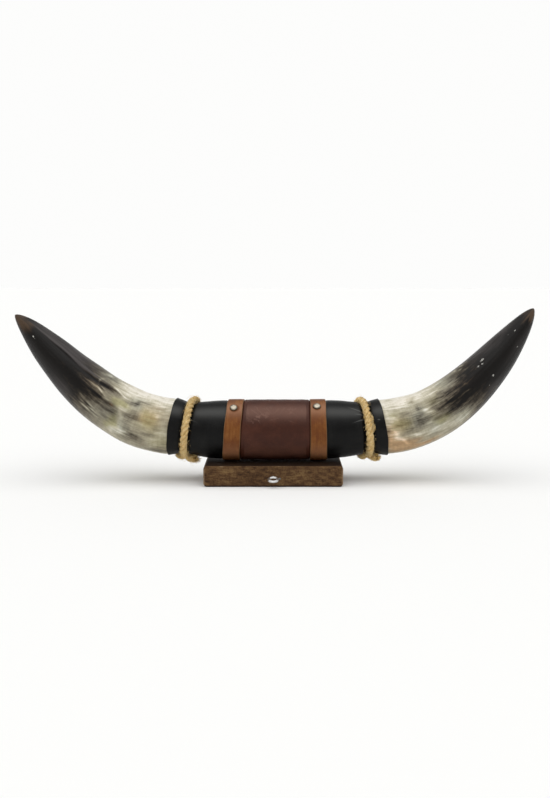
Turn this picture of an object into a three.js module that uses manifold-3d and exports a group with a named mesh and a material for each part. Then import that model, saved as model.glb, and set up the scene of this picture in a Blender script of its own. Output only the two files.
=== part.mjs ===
// A pair of buffalo horns on a leather-covered middle that stands on a small wooden block.
// Millimetres, +Z up, +X to the right and +Y to the back.
// The origin is the middle of the block's underside.

import * as THREE from 'three';
import { mergeVertices } from 'three/addons/utils/BufferGeometryUtils.js';
import Module from 'manifold-3d';

const wasm = await Module();
wasm.setup();

// ---------- driving dimensions ----------

const GAP = 0.3; // clearance between pieces that touch
const ROUND_SIDES = 26; // sides of every turned or wrapped piece
const SMALL_SIDES = 10; // sides of nails, screws and their holes

const BLOCK = { length: 163.5, depth: 84, height: 25, corner: 4.5, edge: 1 };
const STRAP = { radius: 36.5, thickness: 1.5, width: 19.5 };
const LEATHER = 1.4; // thickness of the black and brown leather
const BARREL = { bulge: 36.2, shoulder: 35.9, shoulderLength: 1.6 };

const AXIS_HEIGHT = BLOCK.height + GAP + STRAP.radius;
const LEVEL_HALF = 50; // the middle is straight and level this far to each side
const HORN_BASE = 125; // distance from the middle where a horn's own curve starts
const NECK_HANDLE = 25; // how softly the necks bend from the middle into the horns
const SWEEP = THREE.MathUtils.degToRad(4); // both horns lean back a little

// A horn's curve starts at its base and is drawn in its own upright plane as [out, up] points.
// Its radius falls from baseRadius to nothing at the tip: r = R (1 - (d / L) ^ power) ^ point.
const LEFT = {
  side: -1,
  rise: 4.3,
  curve: [[86, 8], [146.5, 101], [184.5, 132.5]],
  baseRadius: 33.6,
  power: 2.16,
  point: 0.66,
  strapAt: -46.9,
  seamAt: -52,
  ropeAt: -101,
  // [distance from the middle, outside radius] of the black leather out to the cuff's edge
  sleeve: [[59.5, 35], [72, 34.4], [83, 33.1], [94, 31.3], [97.4, 29.3], [101, 28.6], [104.6, 29.3],
    [108.2, 31.3], [120, 34.7]],
  cuffLeather: 1,
};
const RIGHT = {
  side: 1,
  rise: 2.9,
  curve: [[60, 2], [110, 27.5], [187, 141.5]],
  baseRadius: 32.6,
  power: 2.16,
  point: 0.625,
  strapAt: 53.5,
  seamAt: 58,
  ropeAt: 110.2,
  sleeve: [[65.5, 35], [79, 34.3], [92, 32.8], [103, 31.3], [106.5, 28.4], [110.2, 27.4],
    [113.9, 28.4], [117.4, 31.3], [130, 34.3]],
  cuffLeather: 1.4,
};

// Hand-wrapped bands are not quite square to the centre line. Each station gives how far a band's
// top runs towards +X for each millimetre of height, and its front for each millimetre forwards.
const LEAN = [
  { at: -150, top: 0, front: 0 },
  { at: -120, top: 0.047, front: -0.06 },
  { at: -101, top: 0.06, front: -0.08 },
  { at: -47, top: 0.075, front: -0.042 },
  { at: 20, top: 0, front: 0 },
  { at: 60, top: 0, front: 0 },
  { at: 110, top: -0.05, front: 0.06 },
  { at: 130, top: -0.1, front: 0.025 },
  { at: 158, top: 0, front: 0 },
];

const NAIL = { headRadius: 4.6, headHeight: 2.6, shankRadius: 1.1, length: 16, tip: 3 };
const NAILS = {
  left: { at: -46.6, elevation: 52 },
  right: { at: 51.4, elevation: 56 },
};

// Each rope starts low on the front, goes over the top with a small hook towards the middle,
// drifts to the left down the back, and crosses under the sleeve to a cut end on the right.
const ROPE = { diameter: 8, clear: 0.5, sides: 8, steps: 36, start: -160, end: 199 };
const ROPE_POINTS = 30;
const ROPE_DRIFT_OVER = 150; // degrees past the top over which the rope drifts to the left
const ROPE_CROSSING = { from: 158, over: 44 }; // degrees past the top where the tail crosses under
const ROPE_HOOK = { from: -15, full: 30, ease: 50, end: 125 }; // degrees past the top
// Off the middle of its groove a rope rides up onto the groove's edge.
const GROOVE_EDGE = { radius: 31.3, shift: 7, climb: 0.1 };
const LEFT_ROPE = { hook: 4, drift: 10, reach: 14 };
const RIGHT_ROPE = { hook: -3, drift: 7, reach: 9 };

const EYE = { ringRadius: 5.3, wire: 2.8, shank: 16, droop: 16, height: 10.2, stub: 3.4 };
const BASE_SCREW = { spread: 28, headRadius: 4.2, shankRadius: 2.1, length: 46, recess: 1, tip: 5 };

// ---------- the centre line that runs from tip to tip ----------

const { degToRad, lerp } = THREE.MathUtils;

function hornPoint(horn, [out, up]) {
  return new THREE.Vector3(
    horn.side * (HORN_BASE + out * Math.cos(SWEEP)),
    out * Math.sin(SWEEP),
    AXIS_HEIGHT + horn.rise + up,
  );
}

function hornCurve(horn) {
  const points = [[0, 0], ...horn.curve].map((pair) => hornPoint(horn, pair));
  return new THREE.CubicBezierCurve3(...points);
}

function neckCurve(horn) {
  const start = new THREE.Vector3(horn.side * LEVEL_HALF, 0, AXIS_HEIGHT);
  const afterStart = start.clone().setX(horn.side * (LEVEL_HALF + NECK_HANDLE));
  const base = hornPoint(horn, [0, 0]);
  const towardsTip = hornPoint(horn, horn.curve[0]).sub(base).normalize();
  const beforeBase = base.clone().addScaledVector(towardsTip, -NECK_HANDLE);
  return new THREE.CubicBezierCurve3(start, afterStart, beforeBase, base);
}

function reversed({ v0, v1, v2, v3 }) {
  return new THREE.CubicBezierCurve3(v3, v2, v1, v0);
}

const leftHornCurve = hornCurve(LEFT);
const leftNeckCurve = neckCurve(LEFT);
const rightNeckCurve = neckCurve(RIGHT);
const rightHornCurve = hornCurve(RIGHT);
const levelCurve = new THREE.LineCurve3(leftNeckCurve.v0, rightNeckCurve.v0);

const centreLine = new THREE.CurvePath();
centreLine.add(reversed(leftHornCurve));
centreLine.add(reversed(leftNeckCurve));
centreLine.add(levelCurve);
centreLine.add(rightNeckCurve);
centreLine.add(rightHornCurve);

const leftReach = leftHornCurve.getLength() + leftNeckCurve.getLength() + LEVEL_HALF;
const totalReach = centreLine.getLength();

// Distances along the centre line are measured from the middle, negative to the left.
function frameAt(distance) {
  const t = THREE.MathUtils.clamp((leftReach + distance) / totalReach, 0, 1);
  const point = centreLine.getPoint(t);
  const along = centreLine.getTangent(t);
  const up = new THREE.Vector3(0, 0, 1);
  up.addScaledVector(along, -up.dot(along)).normalize();
  const front = along.clone().cross(up);
  return { point, front, up };
}

function leanAt(distance) {
  const next = LEAN.findIndex((station) => station.at > distance);
  if (next < 1) {
    return { top: 0, front: 0 };
  }
  const [a, b] = [LEAN[next - 1], LEAN[next]];
  const t = (distance - a.at) / (b.at - a.at);
  return { top: lerp(a.top, b.top, t), front: lerp(a.front, b.front, t) };
}

// Carries a place on a straight upright body (front, along, top) onto the leaning, bent one.
function onCentreLine(frontwards, distance, upwards) {
  const lean = leanAt(distance);
  const frame = frameAt(distance + lean.top * upwards + lean.front * frontwards);
  return frame.point.addScaledVector(frame.front, frontwards).addScaledVector(frame.up, upwards);
}

function bend(geometry) {
  const position = geometry.getAttribute('position');
  for (let i = 0; i < position.count; i += 1) {
    const place = onCentreLine(position.getX(i), position.getY(i), position.getZ(i));
    position.setXYZ(i, place.x, place.y, place.z);
  }
  return geometry;
}

// ---------- solids ----------

function weld(geometry) {
  geometry.deleteAttribute('normal');
  geometry.deleteAttribute('uv');
  return mergeVertices(geometry, 1e-4);
}

function toSolid(geometry) {
  const welded = weld(geometry);
  return new wasm.Manifold(new wasm.Mesh({
    numProp: 3,
    vertProperties: new Float32Array(welded.getAttribute('position').array),
    triVerts: new Uint32Array(welded.index.array),
  }));
}

function toGeometry(solid) {
  const mesh = solid.getMesh();
  const geometry = new THREE.BufferGeometry();
  geometry.setAttribute('position', new THREE.BufferAttribute(mesh.vertProperties, 3));
  geometry.setIndex(new THREE.BufferAttribute(mesh.triVerts, 1));
  geometry.computeVertexNormals();
  return geometry;
}

function without(geometry, cutters) {
  const solid = cutters.reduce((left, cutter) => left.subtract(toSolid(cutter)), toSolid(geometry));
  return toGeometry(solid);
}

// A profile is a list of [radius, distance] pairs that runs towards +X on the outside.
function turned(profile, sides = ROUND_SIDES) {
  return new THREE.LatheGeometry(profile.map(([r, d]) => new THREE.Vector2(r, d)), sides);
}

// A closed sleeve: the outside stations out, and the inside stations back again.
function tubeProfile(outside, inside) {
  return [...outside, ...inside.toReversed(), outside[0]];
}

function inOrder(side, stations) {
  return side > 0 ? stations : stations.toReversed();
}

// ---------- what lies under and over the leather ----------

const UNDER_STRAP = STRAP.radius - STRAP.thickness - GAP;

function sleeveStations(horn) {
  const seam = Math.abs(horn.seamAt) + GAP / 2;
  const strapEdge = Math.abs(horn.strapAt) + STRAP.width / 2 + 1;
  return [[seam, UNDER_STRAP], [strapEdge, UNDER_STRAP], ...horn.sleeve];
}

function hornRadius(horn, share) {
  return horn.baseRadius * (1 - share ** horn.power) ** horn.point;
}

// The black leather's outside and inside, from its seam out to the cuff's edge.
function sleeveWall(horn) {
  const outside = sleeveStations(horn);
  const last = outside.length - 1;
  const inside = outside.map(([distance, radius], i) => {
    const wall = i === last ? horn.cuffLeather : LEATHER;
    return [distance, radius - wall];
  });
  return { outside, inside };
}

function makeSleeve(horn) {
  const { outside, inside } = sleeveWall(horn);
  const place = ([distance, radius]) => [radius, horn.side * distance];
  return bend(turned(tubeProfile(
    inOrder(horn.side, outside.map(place)),
    inOrder(horn.side, inside.map(place)),
  )));
}

function makeHorn(horn) {
  const { inside } = sleeveWall(horn);
  const butt = Math.abs(horn.ropeAt) + GAP;
  const hidden = inside
    .filter(([distance]) => distance > butt + 1)
    .map(([distance, radius]) => [radius - GAP, distance]);
  const neck = Math.min(...inside.map(([, radius]) => radius)) - GAP;
  const baseDistance = LEVEL_HALF + neckCurve(horn).getLength();
  const length = hornCurve(horn).getLength();
  const rings = 15;
  const open = Array.from({ length: rings }, (_, i) => {
    const share = Math.sin((i + 1) / rings * Math.PI / 2);
    return [hornRadius(horn, Math.min(share, 1)), baseDistance + share * length];
  });
  open[rings - 1][0] = 0;
  const stations = [[0, butt], [neck, butt], ...hidden, ...open];
  const profile = stations.map(([radius, distance]) => [radius, horn.side * distance]);
  return bend(turned(inOrder(horn.side, profile)));
}

// ---------- the brown wrap and the wooden core ----------

function strapSpan(horn) {
  return [horn.strapAt - STRAP.width / 2, horn.strapAt + STRAP.width / 2];
}

function wrapStations() {
  const leftEdge = strapSpan(LEFT)[1] + GAP;
  const rightEdge = strapSpan(RIGHT)[0] - GAP;
  return [
    [UNDER_STRAP, LEFT.seamAt + GAP / 2],
    [UNDER_STRAP, leftEdge],
    [BARREL.shoulder, leftEdge + BARREL.shoulderLength],
    [BARREL.bulge, (leftEdge + rightEdge) / 2],
    [BARREL.shoulder, rightEdge - BARREL.shoulderLength],
    [UNDER_STRAP, rightEdge],
    [UNDER_STRAP, RIGHT.seamAt - GAP / 2],
  ];
}

function makeWrap() {
  const outside = wrapStations();
  const inside = outside.map(([radius, distance]) => [radius - LEATHER, distance]);
  const shell = bend(turned(tubeProfile(outside, inside)));
  return without(shell, [...nailHoles(), ...baseScrewHoles()]);
}

function neckStations(horn) {
  return sleeveWall(horn).inside
    .filter(([distance]) => distance < Math.abs(horn.ropeAt) + 1)
    .map(([distance, radius]) => [radius - GAP, horn.side * distance]);
}

function makeCore() {
  const middle = wrapStations().map(([radius, distance]) => [radius - LEATHER - GAP, distance]);
  const left = neckStations(LEFT).toReversed();
  const right = neckStations(RIGHT);
  left[0][1] = LEFT.ropeAt;
  right[right.length - 1][1] = RIGHT.ropeAt;
  const profile = [[0, LEFT.ropeAt], ...left, ...middle, ...right, [0, RIGHT.ropeAt]];
  return without(bend(turned(profile)), [...nailHoles(), ...baseScrewHoles()]);
}

function makeStrap(horn) {
  const [start, end] = strapSpan(horn);
  const inner = STRAP.radius - STRAP.thickness;
  const middle = (start + end) / 2;
  const outside = [[STRAP.radius, start], [STRAP.radius, middle], [STRAP.radius, end]];
  const inside = outside.map(([, distance]) => [inner, distance]);
  return without(bend(turned(tubeProfile(outside, inside))), nailHoles());
}

// ---------- nails ----------

function nailProfile(extra) {
  const shank = NAIL.shankRadius + extra;
  const foot = -NAIL.length - extra;
  return [
    [0, foot],
    [shank, foot + NAIL.tip],
    [shank, 0],
    [NAIL.headRadius, 0],
    [NAIL.headRadius * 0.94, NAIL.headHeight * 0.42],
    [NAIL.headRadius * 0.7, NAIL.headHeight * 0.78],
    [NAIL.headRadius * 0.36, NAIL.headHeight * 0.96],
    [0, NAIL.headHeight],
  ];
}

// Sets a turned piece, drawn along +Y, on the strap so that it points straight outwards.
function standOnStrap(geometry, nail) {
  const elevation = degToRad(nail.elevation);
  const out = new THREE.Vector3(0, -Math.cos(elevation), Math.sin(elevation));
  const seat = out.clone().multiplyScalar(STRAP.radius + GAP);
  const turn = new THREE.Quaternion().setFromUnitVectors(new THREE.Vector3(0, 1, 0), out);
  return geometry.applyQuaternion(turn).translate(nail.at, seat.y, AXIS_HEIGHT + seat.z);
}

function nailHoles() {
  return Object.values(NAILS).map((nail) => standOnStrap(turned(nailProfile(GAP), SMALL_SIDES), nail));
}

function makeNail(nail) {
  return standOnStrap(turned(nailProfile(0), SMALL_SIDES + 4), nail);
}

// ---------- ropes ----------

// Angles are degrees past the top: negative on the front, positive down the back.
function ropeShift(rope, angle) {
  const { smoothstep } = THREE.MathUtils;
  const drifted = smoothstep(angle, 0, ROPE_DRIFT_OVER);
  const crossed = smoothstep(angle, ROPE_CROSSING.from, ROPE_CROSSING.from + ROPE_CROSSING.over);
  const hooked = smoothstep(angle, ROPE_HOOK.from, ROPE_HOOK.full)
    - smoothstep(angle, ROPE_HOOK.ease, ROPE_HOOK.end);
  return (rope.drift + rope.reach) * crossed - rope.drift * drifted + rope.hook * hooked;
}

function ropeReach(horn, shift) {
  const groove = Math.min(...horn.sleeve.map(([, radius]) => radius));
  const off = Math.abs(shift);
  const edge = THREE.MathUtils.smoothstep(off, 0, GROOVE_EDGE.shift) * (GROOVE_EDGE.radius - groove);
  return groove + ROPE.clear + ROPE.diameter / 2 + edge + GROOVE_EDGE.climb * off;
}

function ropeRoute(horn, rope) {
  const points = Array.from({ length: ROPE_POINTS }, (_, i) => {
    const angle = lerp(ROPE.start, ROPE.end, i / (ROPE_POINTS - 1));
    const shift = ropeShift(rope, angle);
    const reach = ropeReach(horn, shift);
    const backwards = reach * Math.sin(degToRad(angle));
    return onCentreLine(-backwards, horn.ropeAt + shift, reach * Math.cos(degToRad(angle)));
  });
  return new THREE.CatmullRomCurve3(points);
}

function makeRope(horn, rope) {
  const section = new THREE.Shape().absarc(0, 0, ROPE.diameter / 2, 0, 2 * Math.PI);
  return new THREE.ExtrudeGeometry(section, {
    curveSegments: ROPE.sides / 2,
    steps: ROPE.steps,
    extrudePath: ropeRoute(horn, rope),
  });
}

// ---------- base block and its hardware ----------

function roundedRectangle(width, height, corner) {
  const [x, y] = [width / 2 - corner, height / 2 - corner];
  const shape = new THREE.Shape();
  shape.absarc(x, y, corner, 0, Math.PI / 2);
  shape.absarc(-x, y, corner, Math.PI / 2, Math.PI);
  shape.absarc(-x, -y, corner, Math.PI, 1.5 * Math.PI);
  shape.absarc(x, -y, corner, 1.5 * Math.PI, 2 * Math.PI);
  return shape;
}

// The board's ends are rounded over, and its front and back edges only broken.
function makeBlock() {
  const { length, depth, height, corner, edge } = BLOCK;
  const outline = roundedRectangle(length - 2 * edge, height - 2 * edge, corner - edge);
  const board = new THREE.ExtrudeGeometry(outline, {
    depth: depth - 2 * edge,
    bevelThickness: edge,
    bevelSize: edge,
    bevelSegments: 1,
    curveSegments: 4,
  });
  board.rotateX(Math.PI / 2).translate(0, depth / 2 - edge, height / 2);
  return without(board, [...baseScrewHoles(), placeEye(turned(eyeShank(GAP), SMALL_SIDES))]);
}

function baseScrewProfile(extra) {
  const head = BASE_SCREW.headRadius + extra;
  const shank = BASE_SCREW.shankRadius + extra;
  const foot = extra > 0 ? -1 : BASE_SCREW.recess;
  const neck = BASE_SCREW.recess + BASE_SCREW.headRadius - BASE_SCREW.shankRadius + 0.6;
  const end = BASE_SCREW.recess + BASE_SCREW.length + extra;
  return [[0, foot], [head, foot], [head, BASE_SCREW.recess + 0.6], [shank, neck],
    [shank, end - BASE_SCREW.tip], [0, end]];
}

function placeBaseScrew(geometry, side) {
  return geometry.rotateX(Math.PI / 2).translate(side * BASE_SCREW.spread, 0, 0);
}

function baseScrewHoles() {
  return [-1, 1].map((side) => placeBaseScrew(turned(baseScrewProfile(GAP), SMALL_SIDES), side));
}

function makeBaseScrew(side) {
  return placeBaseScrew(turned(baseScrewProfile(0), SMALL_SIDES), side);
}

function eyeShank(extra) {
  const radius = EYE.wire / 2 + extra;
  const start = EYE.ringRadius;
  const end = start + EYE.shank + extra;
  return [[0, start], [radius, start], [radius, end - 3], [0, end]];
}

// The ring droops forwards, and its back edge nearly touches the block's front face.
function placeEye(geometry) {
  const clear = EYE.ringRadius + EYE.wire / 2 + 2 * GAP;
  return geometry.rotateX(degToRad(EYE.droop)).translate(0, -BLOCK.depth / 2 - clear, EYE.height);
}

function makeEye() {
  const ring = new THREE.TorusGeometry(EYE.ringRadius, EYE.wire / 2, 8, 20);
  const stub = turned([[0, 0], [EYE.wire / 2, 0], [EYE.wire / 2, EYE.stub], [0, EYE.stub + 0.4]], 8);
  stub.rotateZ(-Math.PI / 2).rotateY(degToRad(-12)).translate(EYE.ringRadius, 1.5, 0);
  const shank = turned(eyeShank(0), SMALL_SIDES);
  const wire = toSolid(ring).add(toSolid(shank)).add(toSolid(stub));
  return placeEye(toGeometry(wire));
}

// ---------- materials and assembly ----------

const FINISH = {
  horn: { color: 0x9c8a72, roughness: 0.35, metalness: 0 },
  wood: { color: 0x4a2f1c, roughness: 0.75, metalness: 0 },
  core: { color: 0xb08a5c, roughness: 0.8, metalness: 0 },
  blackLeather: { color: 0x1c1a19, roughness: 0.55, metalness: 0 },
  brownLeather: { color: 0x6a2e1a, roughness: 0.5, metalness: 0 },
  tanLeather: { color: 0x9a5424, roughness: 0.55, metalness: 0 },
  nickel: { color: 0xc9c0b2, roughness: 0.25, metalness: 1 },
  steel: { color: 0xb9bbbd, roughness: 0.35, metalness: 1 },
  sisal: { color: 0xc39a58, roughness: 0.95, metalness: 0 },
};

const part = new THREE.Group();

function addPiece(name, geometry, finish) {
  const mesh = new THREE.Mesh(geometry, new THREE.MeshStandardMaterial(finish));
  mesh.name = name;
  part.add(mesh);
}

addPiece('left_horn', makeHorn(LEFT), FINISH.horn);
addPiece('right_horn', makeHorn(RIGHT), FINISH.horn);
addPiece('core', makeCore(), FINISH.core);
addPiece('left_sleeve', makeSleeve(LEFT), FINISH.blackLeather);
addPiece('right_sleeve', makeSleeve(RIGHT), FINISH.blackLeather);
addPiece('centre_wrap', makeWrap(), FINISH.brownLeather);
addPiece('left_strap', makeStrap(LEFT), FINISH.tanLeather);
addPiece('right_strap', makeStrap(RIGHT), FINISH.tanLeather);
addPiece('left_nail', makeNail(NAILS.left), FINISH.nickel);
addPiece('right_nail', makeNail(NAILS.right), FINISH.nickel);
addPiece('left_rope', makeRope(LEFT, LEFT_ROPE), FINISH.sisal);
addPiece('right_rope', makeRope(RIGHT, RIGHT_ROPE), FINISH.sisal);
addPiece('base_block', makeBlock(), FINISH.wood);
addPiece('screw_eye', makeEye(), FINISH.steel);
addPiece('left_base_screw', makeBaseScrew(-1), FINISH.steel);
addPiece('right_base_screw', makeBaseScrew(1), FINISH.steel);

export default part;
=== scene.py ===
"""A pair of buffalo horns on a leather-covered middle, standing on a small stained block.

Shapes are worked out in millimetres, +Z up and +X to the right, and stored in metres.
"""

import bpy
import numpy as np
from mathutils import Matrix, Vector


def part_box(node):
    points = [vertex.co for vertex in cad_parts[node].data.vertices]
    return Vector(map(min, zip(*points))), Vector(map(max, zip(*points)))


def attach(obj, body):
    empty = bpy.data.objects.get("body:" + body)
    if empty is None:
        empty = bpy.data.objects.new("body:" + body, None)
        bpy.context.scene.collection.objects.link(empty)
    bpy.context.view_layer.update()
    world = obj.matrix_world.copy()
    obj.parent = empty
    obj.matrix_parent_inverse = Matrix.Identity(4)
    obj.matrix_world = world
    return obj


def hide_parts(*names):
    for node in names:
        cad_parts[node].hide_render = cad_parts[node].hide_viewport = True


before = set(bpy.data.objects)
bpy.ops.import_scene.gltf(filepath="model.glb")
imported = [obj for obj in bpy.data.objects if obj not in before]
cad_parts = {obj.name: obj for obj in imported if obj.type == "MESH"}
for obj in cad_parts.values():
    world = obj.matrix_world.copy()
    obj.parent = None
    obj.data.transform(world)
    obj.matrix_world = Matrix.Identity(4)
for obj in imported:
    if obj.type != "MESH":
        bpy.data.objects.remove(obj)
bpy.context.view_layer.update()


# ---------------------------------------------------------------------------
# Studio: a camera a little above the horns, a white floor, and a large soft
# overhead light a little in front. The room is white at eye level, dimmer above
# and on the camera's side.
# ---------------------------------------------------------------------------

CAMERA_PLACE = (0.00205, -1.342, 0.2564)
CAMERA_DOWN = 6.7
CAMERA_LENS = 50.98
KEY_STRENGTH = 2.04
KEY_LEAN = 15
KEY_ANGLE = 84

camera_data = bpy.data.cameras.new("camera")
camera_data.lens = CAMERA_LENS
camera_data.sensor_width = 36
camera_data.clip_end = 50
camera = bpy.data.objects.new("camera", camera_data)
camera.location = CAMERA_PLACE
camera.rotation_euler = (np.radians(90 - CAMERA_DOWN), 0, 0)
bpy.context.scene.collection.objects.link(camera)
bpy.context.scene.camera = camera

key_data = bpy.data.lights.new("overhead_light", "SUN")
key_data.energy = KEY_STRENGTH
key_data.angle = np.radians(KEY_ANGLE)
key = bpy.data.objects.new("overhead_light", key_data)
key.rotation_euler = (np.radians(KEY_LEAN), 0, 0)
bpy.context.scene.collection.objects.link(key)


def node(tree, kind, inputs=None, **settings):
    """Adds a shader node. Each input is either a value or another node's output."""
    made = tree.nodes.new("ShaderNode" + kind)
    for name, value in settings.items():
        setattr(made, name, value)
    for name, value in (inputs or {}).items():
        if isinstance(value, bpy.types.NodeSocket):
            tree.links.new(value, made.inputs[name])
        else:
            made.inputs[name].default_value = value
    return made


def maths(tree, operation, *values):
    """One step of arithmetic on numbers or other nodes' outputs."""
    return node(tree, "Math", dict(enumerate(values)), operation=operation).outputs[0]


def rise(tree, value, low, high, top=1.0):
    """A smooth step: 0 where value is under low, up to top where it is over high."""
    made = node(tree, "MapRange", {0: value, 1: low, 2: high, 3: 0.0, 4: top})
    made.interpolation_type = "SMOOTHSTEP"
    return made.outputs[0]


world = bpy.data.worlds.new("studio")
world.use_nodes = True
bpy.context.scene.world = world
bpy.context.scene.view_settings.view_transform = "Standard"
sky = world.node_tree
direction = node(sky, "TexCoord").outputs["Generated"]
parts = node(sky, "SeparateXYZ", {0: direction}).outputs
above = rise(sky, parts["Z"], 0.24, 0.6, 0.62)
in_front = rise(sky, parts["Y"], 0.1, -0.6, 0.5)
dimming = maths(sky, "MAXIMUM", above, in_front)
strength = maths(sky, "SUBTRACT", 0.98, dimming)
sky.links.new(strength, sky.nodes["Background"].inputs["Strength"])
sky.nodes["Background"].inputs["Color"].default_value = (1, 1, 0.992, 1)

floor_mesh = bpy.data.meshes.new("floor")
floor_mesh.from_pydata([(-9, -9, 0), (9, -9, 0), (9, 12, 0), (-9, 12, 0)], [], [(0, 1, 2, 3)])
floor_mesh.materials.append(bpy.data.materials.new("floor_white"))
floor_mesh.materials[0].use_nodes = True
floor_shader = floor_mesh.materials[0].node_tree.nodes["Principled BSDF"]
floor_shader.inputs["Base Color"].default_value = (0.93, 0.93, 0.92, 1)
floor_shader.inputs["Roughness"].default_value = 1.0
floor_shader.inputs["Specular IOR Level"].default_value = 0.0
floor = bpy.data.objects.new("floor", floor_mesh)
bpy.context.scene.collection.objects.link(floor)


# ---------------------------------------------------------------------------
# Horns: two polished buffalo horns, each one solid piece. They are cream and
# tan at the base, go through grey and brown streaks into black, and have brown
# tips. The butt of each is turned down and hidden in its leather sleeve.
# ---------------------------------------------------------------------------

strap_low, strap_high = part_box("right_strap")
AXIS_HEIGHT = 500 * (strap_low.z + strap_high.z)
LEVEL_HALF = 50
HORN_BASE = 125
NECK_HANDLE = 25
SWEEP = np.radians(4)

LEFT = {
    "name": "left",
    "side": -1,
    "rise": 4.3,
    "curve": [(86, 8), (146.5, 101), (184.5, 132.5)],
    "radius": 33.6,
    "power": 2.16,
    "point": 0.66,
    "butt": [(101.3, 26.7), (104.6, 27.4), (108.2, 29.4), (120, 33.3)],
}
RIGHT = {
    "name": "right",
    "side": 1,
    "rise": 2.9,
    "curve": [(60, 2), (110, 27.5), (187, 141.5)],
    "radius": 32.6,
    "power": 2.16,
    "point": 0.625,
    "butt": [(110.5, 25.5), (113.9, 26.5), (117.4, 29.4), (130, 32.4)],
}

# Hand-wrapped bands aren't quite square to the centre line: at each distance from the middle,
# how far their top and their front run towards +X for each millimetre from the line.
LEAN_AT = (-150, -120, -101, -47, 20, 60, 110, 130, 158)
LEAN_TOP = (0, 0.047, 0.06, 0.075, 0, 0, -0.05, -0.1, 0)
LEAN_FRONT = (0, -0.06, -0.08, -0.042, 0, 0, 0.06, 0.025, 0)


def horn_corners(horn):
    """The four corners of a horn's curve, from [out, up] steps leaned back by SWEEP."""
    out, up = np.array([(0, 0), *horn["curve"]], float).T
    across = horn["side"] * (HORN_BASE + out * np.cos(SWEEP))
    return np.stack([across, out * np.sin(SWEEP), AXIS_HEIGHT + horn["rise"] + up], 1)


def neck_corners(horn):
    """The curve from the level middle to the horn's base, meeting the horn in line with it."""
    corners = horn_corners(horn)
    start = np.array([horn["side"] * LEVEL_HALF, 0, AXIS_HEIGHT])
    after = start + [horn["side"] * NECK_HANDLE, 0, 0]
    before = corners[0] - NECK_HANDLE * unit(corners[1] - corners[0])
    return np.stack([start, after, before, corners[0]])


def bezier(corners, count=500):
    """Corners blended by (1-t)^3, 3t(1-t)^2, 3t^2(1-t) and t^3."""
    t = np.linspace(0, 1, count)[:, None]
    a, b, c, d = corners
    return (1 - t) ** 3 * a + 3 * t * (1 - t) ** 2 * b + 3 * t * t * (1 - t) * c + t**3 * d


def length_along(points):
    """The distance travelled along a line of points."""
    steps = np.linalg.norm(np.diff(points, axis=0), axis=1)
    return np.concatenate([[0], np.cumsum(steps)])


def unit(vectors):
    """Vectors scaled to length 1; one of no length stays so."""
    return vectors / (np.linalg.norm(vectors, axis=-1, keepdims=True) + 1e-12)


def square_to(vectors, along):
    """Vectors less their share of the unit vectors along, scaled to length 1."""
    return unit(vectors - (vectors * along).sum(-1, keepdims=True) * along)


def round_about(middle, outward, beside, radius, turn):
    """middle + radius cos(turn) outward + radius sin(turn) beside."""
    out, across = (radius * np.cos(turn))[..., None], (radius * np.sin(turn))[..., None]
    return middle + out * outward + across * beside


def read_at(place, at, rows):
    """Each column of rows, known at the distances at, read at other places."""
    return np.stack([np.interp(place, at, column) for column in rows.T], -1)


def one_turn(count):
    """One turn of evenly spaced angles, as a row."""
    return np.linspace(0, 2 * np.pi, count, endpoint=False)[None, :]


line_points = np.concatenate([
    bezier(horn_corners(LEFT))[::-1],
    bezier(neck_corners(LEFT))[-2::-1],
    bezier(neck_corners(RIGHT)),
    bezier(horn_corners(RIGHT))[1:],
])
line_at = length_along(line_points)
line_at -= np.interp(0, line_points[:, 0], line_at)
line_along = np.gradient(line_points, line_at, axis=0)


def on_line(front, distance, up):
    """Carries (front, distance, up) off a straight bar onto the leaning, bent centre line.

    The place is the line's point at distance + lean, plus front and up times its two normals.
    """
    top_lean = np.interp(distance, LEAN_AT, LEAN_TOP)
    front_lean = np.interp(distance, LEAN_AT, LEAN_FRONT)
    at = distance + top_lean * up + front_lean * front
    along = unit(read_at(at, line_at, line_along))
    upright = unit(np.array([0, 0, 1]) - along[..., 2:] * along)
    forward = np.cross(along, upright)
    middle = read_at(at, line_at, line_points)
    return middle + forward * front[..., None] + upright * up[..., None]


def around_line(angle, distance, radius):
    """A surface of rings: angle is 0 on top and a quarter turn at the front."""
    angle, distance, radius = np.broadcast_arrays(angle, distance, radius)
    return on_line(radius * np.sin(angle), distance, radius * np.cos(angle))


def bar_place(radius, angle, distance):
    """Where a point would be on a straight bar of that radius, which the looks are laid out on."""
    places = np.broadcast_arrays(radius * np.cos(angle), radius * np.sin(angle), distance)
    return np.stack(places, -1)


def ripples(angle, along, turns, waves, count, seed):
    """A smooth random field of about -1 to 1: a sum of cosines with random whole numbers of
    waves around, from turns, and random wavelengths along in millimetres, from waves."""
    draw = np.random.default_rng(seed)
    total = 0
    for _ in range(count):
        around = draw.integers(turns[0], turns[1] + 1)
        per_mm = 2 * np.pi / draw.uniform(*waves) * draw.choice([-1, 1])
        total = total + np.cos(around * angle + per_mm * along + draw.uniform(0, 2 * np.pi))
    return total / np.sqrt(2 * count)


def bump_at(value, centre, width):
    """A bell of height 1: exp(-((value - centre) / width)^2)."""
    return np.exp(-(((value - centre) / width) ** 2))


def eased(value, start, end):
    """0 before start, 1 after end, and t^2 (3 - 2t) between."""
    t = np.clip((value - start) / (end - start), 0, 1)
    return t * t * (3 - 2 * t)


def turn_from(angle, degrees):
    """The angle in degrees measured from a direction, between -180 and 180."""
    return (np.degrees(angle) - degrees + 180) % 360 - 180


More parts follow.
